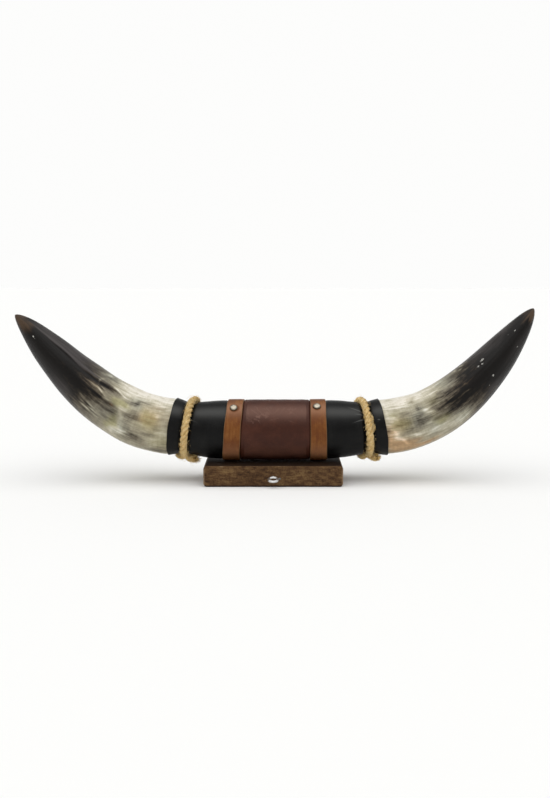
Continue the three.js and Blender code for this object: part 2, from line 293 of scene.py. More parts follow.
def grid_faces(rows, columns, loop):
    """Quads between neighbouring rows of closed rings; with loop, the last row joins the first."""
    last = rows if loop else rows - 1
    i, j = np.meshgrid(np.arange(last), np.arange(columns), indexing="ij")
    below, beside = (i + 1) % rows, (j + 1) % columns
    quads = [i * columns + j, i * columns + beside, below * columns + beside, below * columns + j]
    return np.stack(quads, -1).reshape(-1, 4)


def pole_faces(rows, columns):
    """Triangles from one extra point at each end of a grid to its first and last rings."""
    j = np.arange(columns)
    beside = (j + 1) % columns
    first, last = rows * columns, rows * columns + 1
    start = np.stack([np.full(columns, first), beside, j], 1)
    end = np.stack([np.full(columns, last), (rows - 1) * columns + j, (rows - 1) * columns + beside], 1)
    return np.concatenate([start, end])


def add_mesh(name, points, quads, triangles, fields, material):
    """Puts points in millimetres, faces and named point values into a smooth mesh in metres."""
    mesh = bpy.data.meshes.new(name)
    mesh.vertices.add(len(points))
    mesh.vertices.foreach_set("co", (np.asarray(points) * 0.001).astype(np.float32).ravel())
    corners = np.concatenate([np.ravel(quads), np.ravel(triangles)]).astype(np.int32)
    sizes = np.repeat([4, 3], [len(quads), len(triangles)])
    mesh.loops.add(len(corners))
    mesh.loops.foreach_set("vertex_index", corners)
    mesh.polygons.add(len(sizes))
    mesh.polygons.foreach_set("loop_start", (np.cumsum(sizes) - sizes).astype(np.int32))
    mesh.polygons.foreach_set("loop_total", sizes.astype(np.int32))
    mesh.polygons.foreach_set("use_smooth", np.ones(len(sizes), bool))
    for field, values in fields.items():
        kind = "FLOAT_VECTOR" if np.ndim(values) == 2 else "FLOAT"
        key_name = "vector" if kind == "FLOAT_VECTOR" else "value"
        layer = mesh.attributes.new(field, kind, "POINT")
        layer.data.foreach_set(key_name, np.ravel(values).astype(np.float32))
    mesh.update(calc_edges=True)
    mesh.validate()
    mesh.materials.append(material)
    piece = bpy.data.objects.new(name, mesh)
    bpy.context.scene.collection.objects.link(piece)
    return piece


def with_poles(grid, loop):
    """A grid's values as a list, with the means of its first and last rings put at the end
    unless it is a loop."""
    values = grid.reshape(-1, *grid.shape[2:])
    if loop:
        return values
    return np.concatenate([values, grid[:1].mean(1), grid[-1:].mean(1)])


def skin(rings, loop=False):
    """A closed skin over a grid of rings: its points, quads and triangles. It has a pole at each
    end unless it is a loop."""
    rows, columns = rings.shape[:2]
    triangles = np.zeros((0, 3), int) if loop else pole_faces(rows, columns)
    return with_poles(rings, loop), grid_faces(rows, columns, loop), triangles


def joined(skins):
    """Several skins in one: all points, then all quads and triangles with their points renumbered."""
    starts = np.cumsum([0] + [len(points) for points, _, _ in skins])
    moved = [
        (points, quads + start, triangles + start)
        for (points, quads, triangles), start in zip(skins, starts)
    ]
    return [np.concatenate(part) for part in zip(*moved)]


def add_rings(name, rings, fields, material, loop=False, flip=False):
    """A piece with one skin and its stored values. A flip turns the order of the rings round, so
    that a left-hand piece faces outwards too."""
    if flip:
        rings = rings[::-1]
        fields = {key: grid[::-1] for key, grid in fields.items()}
    values = {key: with_poles(grid, loop) for key, grid in fields.items()}
    return add_mesh(name, *skin(rings, loop), values, material)


def place_piece(piece, cad_node):
    """The piece rides on the object's one body and stands for its CAD node."""
    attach(piece, "root")
    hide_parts(cad_node)


def new_material(name):
    """A fresh material: its node tree and its Principled shader's inputs."""
    material = bpy.data.materials.new(name)
    material.use_nodes = True
    return material, material.node_tree, material.node_tree.nodes["Principled BSDF"].inputs


def field(tree, name, kind="Fac"):
    """A number, or with kind Vector a place, stored on the mesh's points."""
    return node(tree, "Attribute", attribute_name=name).outputs[kind]


def noise(tree, place, stretch, scale, detail=4.0, roughness=0.55):
    """Noise on a place, in the place's own unit. A stretch under 1 draws it out along that axis."""
    mapped = node(tree, "Mapping", {"Vector": place, "Scale": stretch}).outputs[0]
    settings = {"Vector": mapped, "Scale": scale, "Detail": detail, "Roughness": roughness}
    return node(tree, "TexNoise", settings).outputs["Fac"]


def sums(tree, first, *rest):
    """A first value plus (value, factor) terms."""
    total = first
    for value, factor in rest:
        total = maths(tree, "MULTIPLY_ADD", value, factor, total)
    return total


def blend(tree, factor, under, over, how="MIX"):
    """One colour laid over another, or multiplied into it, by a factor."""
    inputs = {0: factor, 6: under, 7: over}
    for index in (6, 7):
        if not isinstance(inputs[index], bpy.types.NodeSocket):
            inputs[index] = (*inputs[index], 1)
    return node(tree, "Mix", inputs, data_type="RGBA", blend_type=how).outputs[2]


def dress(tree, inputs, colour, dull, shine, height, relief, strength):
    """Wires up the shader: a colour, a roughness, a shine, and a height as a fine relief of so
    many metres."""
    made = node(tree, "Bump", {"Height": height, "Distance": relief, "Strength": strength})
    tree.links.new(made.outputs[0], inputs["Normal"])
    tree.links.new(colour, inputs["Base Color"])
    tree.links.new(dull, inputs["Roughness"])
    inputs["Specular IOR Level"].default_value = shine


def ramp(tree, value, stops):
    """A colour read off a row of (place, colour) stops."""
    made = node(tree, "ValToRGB", {"Fac": value})
    row = made.color_ramp.elements
    row[0].position, row[0].color = stops[0][0], (*stops[0][1], 1)
    row[1].position, row[1].color = stops[-1][0], (*stops[-1][1], 1)
    for place, colour in stops[1:-1]:
        row.new(place).color = (*colour, 1)
    return made.outputs[0]


def centred(tree, value, gain):
    """(value - 0.5) times a gain, which may itself vary."""
    return maths(tree, "MULTIPLY", maths(tree, "SUBTRACT", value, 0.5), gain)


PIGMENT_TONES = [
    (0.00, (0.82, 0.775, 0.68)), (0.14, (0.620, 0.575, 0.455)), (0.28, (0.425, 0.385, 0.280)),
    (0.40, (0.300, 0.268, 0.192)), (0.52, (0.195, 0.170, 0.122)), (0.64, (0.115, 0.096, 0.068)),
    (0.76, (0.056, 0.045, 0.031)), (0.88, (0.021, 0.016, 0.0112)), (1.00, (0.0068, 0.0056, 0.0048)),
]


def horn_material(name):
    """Polished horn. Its depth of colour is the stored pigment plus lengthwise streaks, fine hairs,
    clouds and growth rings of noise, read off a row of tones from cream to black. Stored patches,
    each broken up by one of the noises, then tint it or lie over it; the haze patches that lie over
    it are mostly painted sheen and painted reflection."""
    material, tree, inputs = new_material(name)
    place = field(tree, "grain", "Vector")
    streak = noise(tree, place, (1, 1, 0.07), 0.19, 5.0, 0.62)
    finger = noise(tree, place, (1, 1, 0.08), 0.45, 5.0, 0.64)
    hair = noise(tree, place, (1, 1, 0.055), 1.5, 3.0)
    cloud = noise(tree, place, (1, 1, 0.45), 0.17, 5.0, 0.62)
    rings = noise(tree, place, (0.08, 0.08, 1), 0.45, 4.0)

    broken = field(tree, "broken")
    depth = sums(
        tree, field(tree, "pigment"),
        (centred(tree, streak, 0.34), 1.0),
        (centred(tree, finger, sums(tree, 0.13, (broken, 1.15))), 1.0),
        (centred(tree, hair, sums(tree, 0.10, (broken, 0.6))), 1.0),
        (centred(tree, cloud, sums(tree, 0.45, (broken, 0.5))), 1.0),
        (centred(tree, rings, 0.15), 1.0),
    )
    colour = ramp(tree, depth, PIGMENT_TONES)
    chip = noise(tree, place, (1, 1, 0.8), 0.9, 3.0, 0.6)
    layers = [
        ("cool", cloud, 1.6, (0.0, 1.0, 0.7), (0.88, 0.96, 1.06), "MULTIPLY"),
        ("olive", cloud, 1.6, (0.0, 1.0, 0.8), (0.98, 1.0, 0.72), "MULTIPLY"),
        ("warm", streak, 1.6, (0.0, 1.0, 0.9), (1.22, 0.86, 0.62), "MULTIPLY"),
        # Haze: mostly painted sheen and painted reflection, grey laid over the black part.
        ("haze_and_painted_sheen", finger, 1.4, (0.0, 1.2, 0.9), (0.075, 0.066, 0.064), "MIX"),
        ("tip", streak, 1.8, (0.1, 1.1, 0.9), (0.078, 0.048, 0.028), "MIX"),
        # Specks: pale scratches, partly painted glints.
        ("speck", chip, 5.0, (0.35, 1.1, 0.85), (0.52, 0.51, 0.47), "MIX"),
    ]
    for key, breaker, gain, step, tone, how in layers:
        stored = field(tree, key)
        amount = sums(tree, stored, (centred(tree, breaker, stored), gain))
        colour = blend(tree, rise(tree, amount, *step), colour, tone, how)
    dull = sums(tree, 0.16, (streak, 0.18), (hair, 0.2))
    height = sums(tree, 0.0, (hair, 1.0), (finger, 0.8))
    dress(tree, inputs, colour, dull, 0.16, height, 0.00028, 0.6)
    return material


def spots(along, angle, marks):
    """A sum of soft spots, each (along, degrees, half length, half width in degrees, strength)
    and perhaps a slant, in degrees round for each unit along."""
    total = np.zeros(np.broadcast(along, angle).shape)
    for at, degrees, length, width, weight, *slant in marks:
        middle = degrees + sum(slant) * (along - at)
        total += weight * bump_at(along, at, length) * bump_at(turn_from(angle, middle), 0, width)
    return total


def edge_around(angle, degrees, values):
    """A value read off the given ones by straight runs between them, all the way round."""
    return np.interp(np.degrees(angle) % 360, degrees, values, period=360)


# Each horn's looks, as listed. The edge is the share of the length where it turns black, at
# each angle. The rest are spots: pale and light ones take depth away, shade and brown ones add it,
# cool, olive and warm ones tint, and haze, tip and speck lie on top.
LEFT_LOOK = {
    "edge_degrees": (8, 25, 40, 48, 56, 66, 76, 88, 100, 115, 135, 160, 200, 240, 290, 330),
    "edge": (0.63, 0.62, 0.59, 0.56, 0.54, 0.56, 0.53, 0.525, 0.54, 0.55, 0.57, 0.56, 0.50, 0.58,
             0.50, 0.58),
    # The pale spots at 12 to 18 degrees, along the top, are partly cream horn and partly painted
    # highlight.
    "pale": [(0.05, 18, 0.09, 26, 1.3), (0.26, 15, 0.11, 33, 1.25), (0.15, 12, 0.08, 24, 0.65),
             (0.03, 44, 0.05, 4, 0.6), (0.23, 76, 0.018, 18, 0.6), (0.235, 124, 0.03, 22, 0.85),
             (0.035, 66, 0.02, 7, 0.7), (0.06, 126, 0.04, 14, 0.45), (0.20, 262, 0.16, 50, 0.6)],
    "cool": [(0.18, 50, 0.06, 14, 1.0), (0.20, 110, 0.05, 30, 0.7), (0.36, 110, 0.09, 30, 0.6),
             (0.40, 18, 0.08, 26, 0.8), (0.30, 88, 0.05, 14, 0.5), (0.62, 30, 0.2, 40, 0.3)],
    "olive": [(0.09, 76, 0.07, 22, 0.55), (0.27, 66, 0.045, 9, 1.1), (0.27, 108, 0.025, 22, 0.9),
              (0.02, 120, 0.05, 25, 0.5), (0.10, 75, 0.06, 18, 0.45), (0.1, 200, 0.1, 30, 0.5)],
    "warm": [(0.07, 70, 0.08, 28, 0.45), (0.31, 77, 0.02, 3, 0.8), (0.15, 74, 0.04, 12, 0.3),
             (0.47, 66, 0.09, 11, 0.35)],
    "shade": [(0.165, 47, 0.05, 5, 1.5, 105), (0.20, 53, 0.035, 6, 1.1, 40),
              (0.185, 82, 0.024, 16, 0.95), (0.15, 118, 0.04, 14, 0.85), (0.19, 128, 0.03, 18, 0.5),
              (0.29, 92, 0.045, 14, 0.7), (0.385, 18, 0.02, 26, 0.6), (0.36, 50, 0.05, 5, 0.5),
              (0.02, 143, 0.04, 12, 0.9), (0.10, 126, 0.04, 18, 0.7), (0.08, 100, 0.05, 12, 0.3),
              (0.15, 14, 0.012, 20, 0.45), (0.33, 14, 0.04, 18, 0.35), (0.24, 230, 0.1, 30, 0.7),
              (0.32, 310, 0.1, 25, 0.6)],
    "light": [(0.46, 50, 0.03, 1.2, 0.6, -60), (0.43, 58, 0.025, 1.2, 0.45, -80),
              (0.37, 58, 0.03, 1.3, 0.8, -70), (0.50, 17, 0.03, 2.2, 0.6), (0.45, 22, 0.03, 2, 0.6),
              (0.44, 112, 0.02, 1.4, 0.7), (0.35, 120, 0.03, 1.6, 0.6),
              (0.40, 66, 0.055, 2.6, 1.0, -95), (0.425, 47, 0.008, 9, 0.9),
              (0.31, 46.5, 0.06, 1.8, 0.9, -50), (0.41, 120, 0.022, 2.6, 1.1),
              (0.38, 104, 0.03, 2.2, 0.9), (0.46, 103, 0.02, 2.2, 0.8), (0.19, 119, 0.03, 3, 0.8),
              (0.42, 13, 0.012, 8, 0.6), (0.36, 111, 0.035, 2, 0.6), (0.47, 64, 0.03, 2, 0.6)],
    "brown": [(0.70, 56, 0.12, 5, 0.7), (0.37, 51, 0.085, 3.4, 1.2), (0.22, 51, 0.03, 2, 0.5),
              (0.41, 79, 0.09, 3.4, 1.4), (0.31, 76, 0.03, 1.8, 0.8), (0.47, 54, 0.06, 5, 0.8),
              (0.5, 92, 0.03, 10, 0.8)],
    # Haze: mostly painted sheen and painted reflection. It is grey over the black part along the top
    # and the ridge, where the overhead light shines, and low on the front, where the floor reflects.
    "haze_and_painted_sheen": [(0.62, 16, 0.17, 26, 0.95), (0.84, 22, 0.09, 20, 0.6), (0.68, 44.5, 0.22, 3.0, 1.5),
             (0.52, 43, 0.1, 2.4, 0.8), (0.74, 38, 0.16, 9, 0.4), (0.55, 128, 0.07, 20, 0.5),
             (0.72, 120, 0.2, 24, 0.28), (0.62, 290, 0.2, 40, 0.6)],
    "tip": [(0.93, 88, 0.05, 40, 0.9), (0.97, 20, 0.035, 20, 0.8), (0.99, 60, 0.035, 400, 0.7),
            (0.9, 50, 0.03, 14, 0.5)],
    # Specks: pale scratches, partly painted glints.
    "speck": [(0.845, 88, 0.006, 3, 1.6), (0.832, 90, 0.004, 2, 0.8)],
}
RIGHT_LOOK = {
    "edge_degrees": (8, 22, 34, 46, 56, 66, 74, 82, 92, 102, 112, 130, 155, 190, 240, 290, 335),
    "edge": (0.66, 0.64, 0.62, 0.60, 0.58, 0.53, 0.51, 0.495, 0.50, 0.53, 0.59, 0.61, 0.58, 0.52,
             0.58, 0.50, 0.62),
    # The pale spots at 12 to 18 degrees, along the top, are partly cream horn and partly painted
    # highlight.
    "pale": [(0.11, 18, 0.09, 26, 1.35), (0.25, 16, 0.09, 24, 1.1), (0.035, 50, 0.025, 60, 0.8),
             (0.38, 128, 0.055, 17, 1.0), (0.28, 118, 0.05, 18, 0.45), (0.21, 112, 0.05, 8, 0.5),
             (0.39, 12, 0.06, 22, 0.5), (0.20, 262, 0.16, 50, 0.6)],
    "cool": [(0.20, 74, 0.05, 26, 1.0), (0.26, 110, 0.05, 20, 0.6), (0.40, 118, 0.08, 22, 0.8),
             (0.42, 20, 0.08, 26, 0.8), (0.62, 30, 0.2, 40, 0.3), (0.34, 92, 0.04, 12, 0.4)],
    "olive": [(0.30, 100, 0.04, 10, 1.0), (0.10, 84, 0.06, 16, 0.8), (0.08, 58, 0.05, 8, 0.5),
              (0.31, 55, 0.05, 9, 0.6), (0.26, 82, 0.04, 10, 0.4), (0.1, 205, 0.1, 30, 0.5)],
    "warm": [(0.08, 84, 0.06, 22, 0.35), (0.50, 64, 0.10, 12, 0.5), (0.02, 105, 0.03, 25, 0.7),
             (0.05, 128, 0.04, 22, 1.2), (0.13, 140, 0.07, 14, 1.4), (0.20, 147, 0.05, 8, 1.0),
             (0.12, 122, 0.04, 10, 0.6), (0.15, 26, 0.1, 14, 0.12)],
    "shade": [(0.015, 98, 0.025, 24, 1.3), (0.205, 82, 0.03, 13, 1.4), (0.195, 56, 0.018, 5, 1.1),
              (0.19, 36, 0.014, 12, 0.6), (0.36, 50, 0.05, 12, 0.4), (0.34, 66, 0.06, 10, 0.4),
              (0.38, 95, 0.05, 10, 0.7), (0.17, 66, 0.06, 10, 0.4), (0.12, 70, 0.05, 20, 0.4),
              (0.13, 94, 0.05, 14, 0.65), (0.25, 125, 0.03, 7, 0.4), (0.24, 220, 0.1, 30, 0.6),
              (0.28, 62, 0.04, 9, 0.5), (0.32, 300, 0.1, 25, 0.6)],
    "light": [(0.47, 82, 0.03, 1.4, 0.8), (0.42, 100, 0.03, 1.6, 0.7), (0.51, 88, 0.02, 1.4, 0.7),
              (0.45, 34, 0.03, 2.0, 0.6), (0.24, 96, 0.03, 2.2, 0.6, 60),
              (0.12, 42, 0.055, 1.4, 1.1), (0.31, 39, 0.05, 1.6, 0.9), (0.243, 62, 0.02, 2.4, 1.3),
              (0.26, 70, 0.022, 4, 0.9, 150), (0.08, 108, 0.035, 4.5, 0.9, 400),
              (0.16, 108, 0.02, 3.5, 0.8), (0.485, 66, 0.015, 4, 0.7), (0.492, 12, 0.014, 6, 0.9),
              (0.545, 9, 0.010, 5, 1.0), (0.52, 22, 0.012, 3, 0.7), (0.578, 12, 0.010, 4, 0.6),
              (0.44, 50, 0.02, 3, 0.5), (0.07, 70, 0.015, 8, 0.5), (0.485, 76, 0.012, 4, 0.6)],
    "brown": [(0.43, 75.5, 0.11, 3.2, 1.5), (0.33, 75, 0.03, 1.8, 0.7), (0.48, 62, 0.08, 1.8, 1.0),
              (0.36, 52, 0.08, 1.6, 0.65), (0.41, 58, 0.07, 1.6, 0.6), (0.47, 90, 0.06, 2.6, 0.9),
              (0.53, 72, 0.05, 16, 0.8), (0.52, 46, 0.03, 10, 0.5)],
    # Haze: mostly painted sheen and painted reflection. It is grey over the black part along the top,
    # where the overhead light shines, and low on the front, where the floor reflects.
    "haze_and_painted_sheen": [(0.68, 14, 0.14, 22, 0.8), (0.85, 16, 0.07, 20, 0.6), (0.70, 42, 0.08, 12, 0.35),
             (0.58, 130, 0.08, 16, 0.5), (0.80, 112, 0.12, 18, 0.35), (0.62, 270, 0.2, 40, 0.5)],
    "tip": [(0.965, 100, 0.03, 44, 1.3), (0.955, 18, 0.025, 22, 0.8), (0.995, 0, 0.015, 400, 0.6),
            (0.92, 70, 0.03, 12, 0.4), (0.57, 45, 0.05, 12, 0.25)],
    # Specks: pale scratches, partly painted glints.
    "speck": [(0.635, 48, 0.012, 2.6, 1.5), (0.598, 54, 0.007, 2.6, 1.2),
              (0.622, 57, 0.007, 2, 1.3), (0.615, 101, 0.006, 2.6, 1.5),
              (0.853, 64, 0.006, 2.8, 1.2), (0.815, 52, 0.004, 2, 0.9),
              (0.797, 112, 0.005, 2.4, 1.0), (0.570, 112, 0.004, 2, 0.8),
              (0.707, 63, 0.003, 2, 0.7)],
}
DEPTH_PATCHES = ("shade", "brown", "pale", "light")
PATCHES = (*DEPTH_PATCHES, "cool", "olive", "warm", "haze_and_painted_sheen", "tip")
BASE_PIGMENT = 0.34
FULL_PIGMENT = 1.06
DARK_RUN = 0.34
HORN_COLUMNS = 220
HORN_ROWS = 330
HIDDEN_ROWS = 40


def horn_radius(horn, share):
    """R (1 - share^power)^point, full at the base and nothing at the tip."""
    return horn["radius"] * (1 - share ** horn["power"]) ** horn["point"]


def make_horn(horn, look, ridge, seed):
    """Rings from the hidden butt to the tip, denser towards the tip, with a low ridge, shallow
    waves and growth rings raised on the turned shape."""
    length = length_along(bezier(horn_corners(horn)))[-1]
    base = abs(line_at[np.argmin(abs(line_points[:, 0] - horn["side"] * HORN_BASE))])
    hidden_at, hidden_radius = np.array(horn["butt"]).T
    hidden = np.linspace(hidden_at[0], base, HIDDEN_ROWS, endpoint=False)
    share = 1 - (1 - np.linspace(0, 0.9995, HORN_ROWS)) ** 1.5
    at = np.concatenate([hidden, base + share * length])
    under_leather = np.interp(hidden, [*hidden_at, base], [*hidden_radius, horn["radius"]])
    radius = np.concatenate([under_leather, horn_radius(horn, share)])

    angle = one_turn(HORN_COLUMNS)
    at, radius = at[:, None], radius[:, None]
    share = np.clip((at - base) / length, 0, 1)
    shown = np.clip((at - hidden_at[-1] - 2) / 6, 0, 1)
    relief = 0.28 * ripples(angle, at, (1, 4), (40, 110), 7, seed)
    relief = relief + 0.07 * ripples(angle, at, (0, 1), (5, 9), 5, seed + 1) * (share < 0.4)
    relief = relief + 0.09 * ripples(angle, at, (14, 40), (90, 240), 9, seed + 2)
    crest = bump_at(turn_from(angle, ridge["degrees"]), 0, ridge["width"])
    below = bump_at(turn_from(angle, ridge["degrees"] + 1.6 * ridge["width"]), 0, ridge["width"])
    relief = relief + ridge["height"] * (crest - 0.7 * below) * bump_at(share, 0.58, 0.3)
    radius = radius * (1 + shown * relief / 30)

    rings = around_line(angle, horn["side"] * at, radius)
    slipped = share + 0.014 * ripples(angle, at, (5, 15), (18, 80), 10, seed + 3)
    swayed = angle + 0.07 * ripples(angle, at, (2, 8), (22, 90), 10, seed + 4)
    fields = {name: spots(slipped, swayed, look[name]) for name in PATCHES}
    shade, brown, pale, light = (fields.pop(name) for name in DEPTH_PATCHES)
    shift = share - edge_around(angle, look["edge_degrees"], look["edge"])
    darkened = eased(shift, -DARK_RUN, 0.07)
    pigment = BASE_PIGMENT + (FULL_PIGMENT - BASE_PIGMENT) * darkened
    fields["pigment"] = pigment + 0.20 * shade + 0.26 * brown - 0.24 * pale - 0.34 * light
    strong = shade + brown + light + 0.5 * pale
    fields["broken"] = np.clip(0.45 * strong + 0.55 * bump_at(shift, -0.08, 0.12), 0, 1)
    fields["speck"] = spots(share, angle, look["speck"])
    fields["grain"] = bar_place(horn["radius"], angle, at)
    name = horn["name"] + "_horn"
    flip = horn["side"] < 0
    piece = add_rings(name + "_polished", rings, fields, horn_material(name), flip=flip)
    place_piece(piece, name)


make_horn(LEFT, LEFT_LOOK, {"degrees": 45, "width": 4.5, "height": 1.3}, 11)
make_horn(RIGHT, RIGHT_LOOK, {"degrees": 38, "width": 9, "height": 0.35}, 23)


# ---------------------------------------------------------------------------
# Core: one turned wooden bar that runs under the leather from butt to butt and
# holds the two horns together. Only the joiner sees it.
# ---------------------------------------------------------------------------


def wood_streaks(tree, place, narrow, scale):
    """Noise drawn out along the board: narrow is its scale that way, against 1 across."""
    return noise(tree, place, (narrow, 1, 1), scale, 5.0, 0.6)


def core_wood():
    """Bare turned wood with long pale streaks and a fine speckle."""
    material, tree, inputs = new_material("core_wood")
    place = node(tree, "TexCoord").outputs["Object"]
    streak = wood_streaks(tree, place, 0.05, 260)
    speckle = wood_streaks(tree, place, 0.1, 1400)
    mixed = sums(tree, 0.0, (streak, 0.7), (speckle, 0.4))
    colour = blend(tree, rise(tree, mixed, 0.35, 0.75), (0.34, 0.21, 0.105), (0.52, 0.36, 0.20))
    dull = sums(tree, 0.55, (streak, 0.3))
    dress(tree, inputs, colour, dull, 0.5, mixed, 0.0003, 1.0)
    return material


def finish_node(cad_node, material):
    """Gives a CAD node that is kept as it is its own material."""
    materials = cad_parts[cad_node].data.materials
    materials.clear()
    materials.append(material)


finish_node("core", core_wood())


# ---------------------------------------------------------------------------
# Black sleeves: thin black leather glued round the core and the horn's butt,
# pulled in by the rope into a puckered groove and flaring to a cut cuff.
# ---------------------------------------------------------------------------

SLEEVES = [
    {
        "name": "left",
        "side": -1,
        "outside": [(52.15, 34.7), (57.65, 34.7), (59.5, 35), (72, 34.4), (83, 33.1), (94, 31.3),
                    (97.4, 29.3), (101, 28.6), (104.6, 29.3), (108.2, 31.3), (120, 34.7)],
        "groove": 101,
        "creases": [(96.5, 64, -9, 6, 0.5), (95, 118, -8, -5, 0.3)],
        "specks": [],
        "seam": 232,
        "seed": 41,
    },
    {
        "name": "right",
        "side": 1,
        "outside": [(58.15, 34.7), (64.25, 34.7), (65.5, 35), (79, 34.3), (92, 32.8), (103, 31.3),
                    (106.5, 28.4), (110.2, 27.4), (113.9, 28.4), (117.4, 31.3), (130, 34.3)],
        "groove": 110.2,
        "creases": [(105.5, 44, -17, -14, 1.0), (105, 52, -9, -2, 0.7), (105.5, 63, -15, 9, 1.0)],
        "specks": [(122.5, 66, 1.4, 1.1, 1.0), (121, 70, 1.0, 0.8, 0.5)],
        "seam": 215,
        "seed": 53,
    },
]
LEATHER_COLUMNS = 256
LEATHER_WALL = 1.25
LEATHER_ROUNDING = 0.5
BAND_RADIUS = 35
EDGE_STEPS = 6


def smooth_through(stations, at):
    """A curve through the stations that never overshoots them: cubic pieces whose slope at a
    station is the harmonic mean of the two steps beside it, or level at a turning point."""
    x, y = np.array(stations, float).T
    step = np.diff(y) / np.diff(x)
    slope = np.zeros_like(y)
    same_way = step[:-1] * step[1:] > 0
    safe = np.where(same_way, step[:-1] + step[1:], 1)
    slope[1:-1] = np.where(same_way, 2 * step[:-1] * step[1:] / safe, 0)
    slope[0], slope[-1] = step[0], step[-1]
    i = np.clip(np.searchsorted(x, at) - 1, 0, len(x) - 2)
    wide = x[i + 1] - x[i]
    t = (at - x[i]) / wide
    from_left = (1 + 2 * t) * (1 - t) ** 2 * y[i] + t * (1 - t) ** 2 * wide * slope[i]
    from_right = t * t * (3 - 2 * t) * y[i + 1] + t * t * (t - 1) * wide * slope[i + 1]
    return from_left + from_right


def wall_section(start, end, outside, wall, rounding, rows):
    """The section of a leather wall: out along the outside, round the cut edge, back along the
    inside and round the other edge. Gives its distances, radii and how much of it is outside."""
    turn = np.linspace(0, np.pi / 2, EDGE_STEPS + 1)[:-1]
    run_out = np.linspace(start + rounding, end - rounding, rows)
    run_back = np.linspace(end - rounding, start + rounding, rows // 4)
    top_end, top_start = outside(end), outside(start)
    at = np.concatenate([
        run_out,
        end - rounding + rounding * np.sin(turn[1:]),
        end - rounding + rounding * np.cos(turn),
        run_back,
        start + rounding - rounding * np.sin(turn[1:]),
        start + rounding - rounding * np.cos(turn),
    ])
    radius = np.concatenate([
        outside(run_out),
        top_end - rounding + rounding * np.cos(turn[1:]),
        top_end - wall + rounding - rounding * np.sin(turn),
        outside(run_back) - wall,
        top_start - wall + rounding - rounding * np.cos(turn[1:]),
        top_start - rounding + rounding * np.sin(turn),
    ])
    shown = np.zeros(len(at))
    shown[:rows] = 1
    from_edge = np.minimum(run_out - start, end - run_out)
    cut = np.ones(len(at))
    cut[:rows] = np.clip(1 - from_edge / 0.9, 0, 1)
    cut[rows + 2 * EDGE_STEPS:][: rows // 4] = 0
    return at[:, None], radius[:, None], shown[:, None], cut[:, None]


def lines_on(angle, at, lines, radius):
    """Thin soft lines, each (distance, degrees, run along, run around in degrees, strength),
    from that place outwards, fading to nothing at the far end."""
    total = np.zeros(np.broadcast(angle, at).shape)
    for start, degrees, run, around, weight in lines:
        share = (at - start) / run
        off = turn_from(angle, degrees) - around * share
        fade = np.clip(1 - share, 0, 1) * np.clip(share * 6 + 1, 0, 1)
        total += weight * fade * bump_at(np.radians(off) * radius, 0, 0.45)
    return total


def overlap_step(angle, degrees, height, radius):
    """The step where a wrapped sheet's end lies over its start: it swells up slowly over 14 mm
    and drops at once."""
    arc = np.radians(turn_from(angle, degrees)) * radius
    return height * np.clip(1 + arc / 14, 0, 1) * np.clip(-arc / 0.35, 0, 1)


def leather_material(name, tones, grain, gloss, shine, pale, stretch, veins, edge):
    """Leather: a pebbled grain of small cells with fine pores, tones that wander and run round
    the piece, pale marks, faint creases and a raw cut edge. The pale marks are partly scuffs,
    creases and specks and partly painted highlight and painted bounce light, stored by each piece."""
    material, tree, inputs = new_material(name)
    place = node(tree, "TexCoord").outputs["Object"]
    banded = field(tree, "band", "Vector")
    cells = node(tree, "TexVoronoi", {"Vector": place, "Scale": grain}, feature="SMOOTH_F1")
    pebble = cells.outputs["Distance"]
    pores = noise(tree, place, (1, 1, 1), grain * 2.3, 4.0, 0.6)
    cloud = noise(tree, place, (1, 1, 1), 55, 4.0, 0.6)
    streak = noise(tree, banded, (0.05, 0.05, 1), 0.7, 4.0, 0.6)
    wander = noise(tree, place, (1, 1, 1), 130, 3.0, 0.5)
    wave = maths(tree, "SINE", sums(tree, 0.0, (wander, 6.0), (cloud, 9.0)))
    vein = rise(tree, maths(tree, "MULTIPLY", wave, wave), 0.10, 0.0)

    low_tone, main_tone, high_tone = tones
    tone = sums(tree, -0.5 * stretch, (cloud, 0.9), (streak, stretch), (pores, 0.2))
    colour = blend(tree, rise(tree, tone, 0.45, 0.66), low_tone, main_tone)
    colour = blend(tree, rise(tree, tone, 0.60, 0.82, 0.8), colour, high_tone)
    # The stored marks are partly creases, scuffs and specks and partly painted highlight and painted
    # bounce light; they also roughen and lower the surface.
    veined = maths(tree, "MULTIPLY", vein, field(tree, "scuff"))
    scuffed_and_painted_light = sums(tree, field(tree, "marks_and_painted_light"), (veined, veins))
    colour = blend(tree, rise(tree, scuffed_and_painted_light, 0.1, 1.1, 0.75), colour, pale)
    colour = blend(tree, rise(tree, field(tree, "cut"), 0.45, 0.95, 0.85), colour, edge)
    dull = sums(tree, gloss, (cloud, 0.16), (pores, 0.1), (scuffed_and_painted_light, 0.12))
    height = sums(tree, 0.0, (pebble, 0.6), (pores, 0.5), (streak, stretch), (scuffed_and_painted_light, -0.5))
    dress(tree, inputs, colour, dull, shine, height, 0.0003, 0.75)
    return material


def add_leather(name, angle, at, radius, fields, material, flip=False):
    """A bent leather wall from its section's arrays, with its stored values and each point's
    place on the straight bar."""
    flat = np.zeros(np.broadcast(angle, at).shape)
    fields = {key: value + flat for key, value in fields.items()}
    fields["band"] = bar_place(BAND_RADIUS, angle, at + flat)
    rings = around_line(angle, at, radius)
    return add_rings(name, rings, fields, material, loop=True, flip=flip)


black_leather = leather_material(
    "black_leather",
    [(0.0026, 0.0025, 0.0025), (0.0048, 0.0047, 0.0045), (0.0105, 0.0103, 0.0098)],
    grain=1050,
    gloss=0.28,
    shine=0.14,
    pale=(0.12, 0.12, 0.115),
    stretch=0.35,
    veins=0.0,
    edge=(0.014, 0.012, 0.010),
)


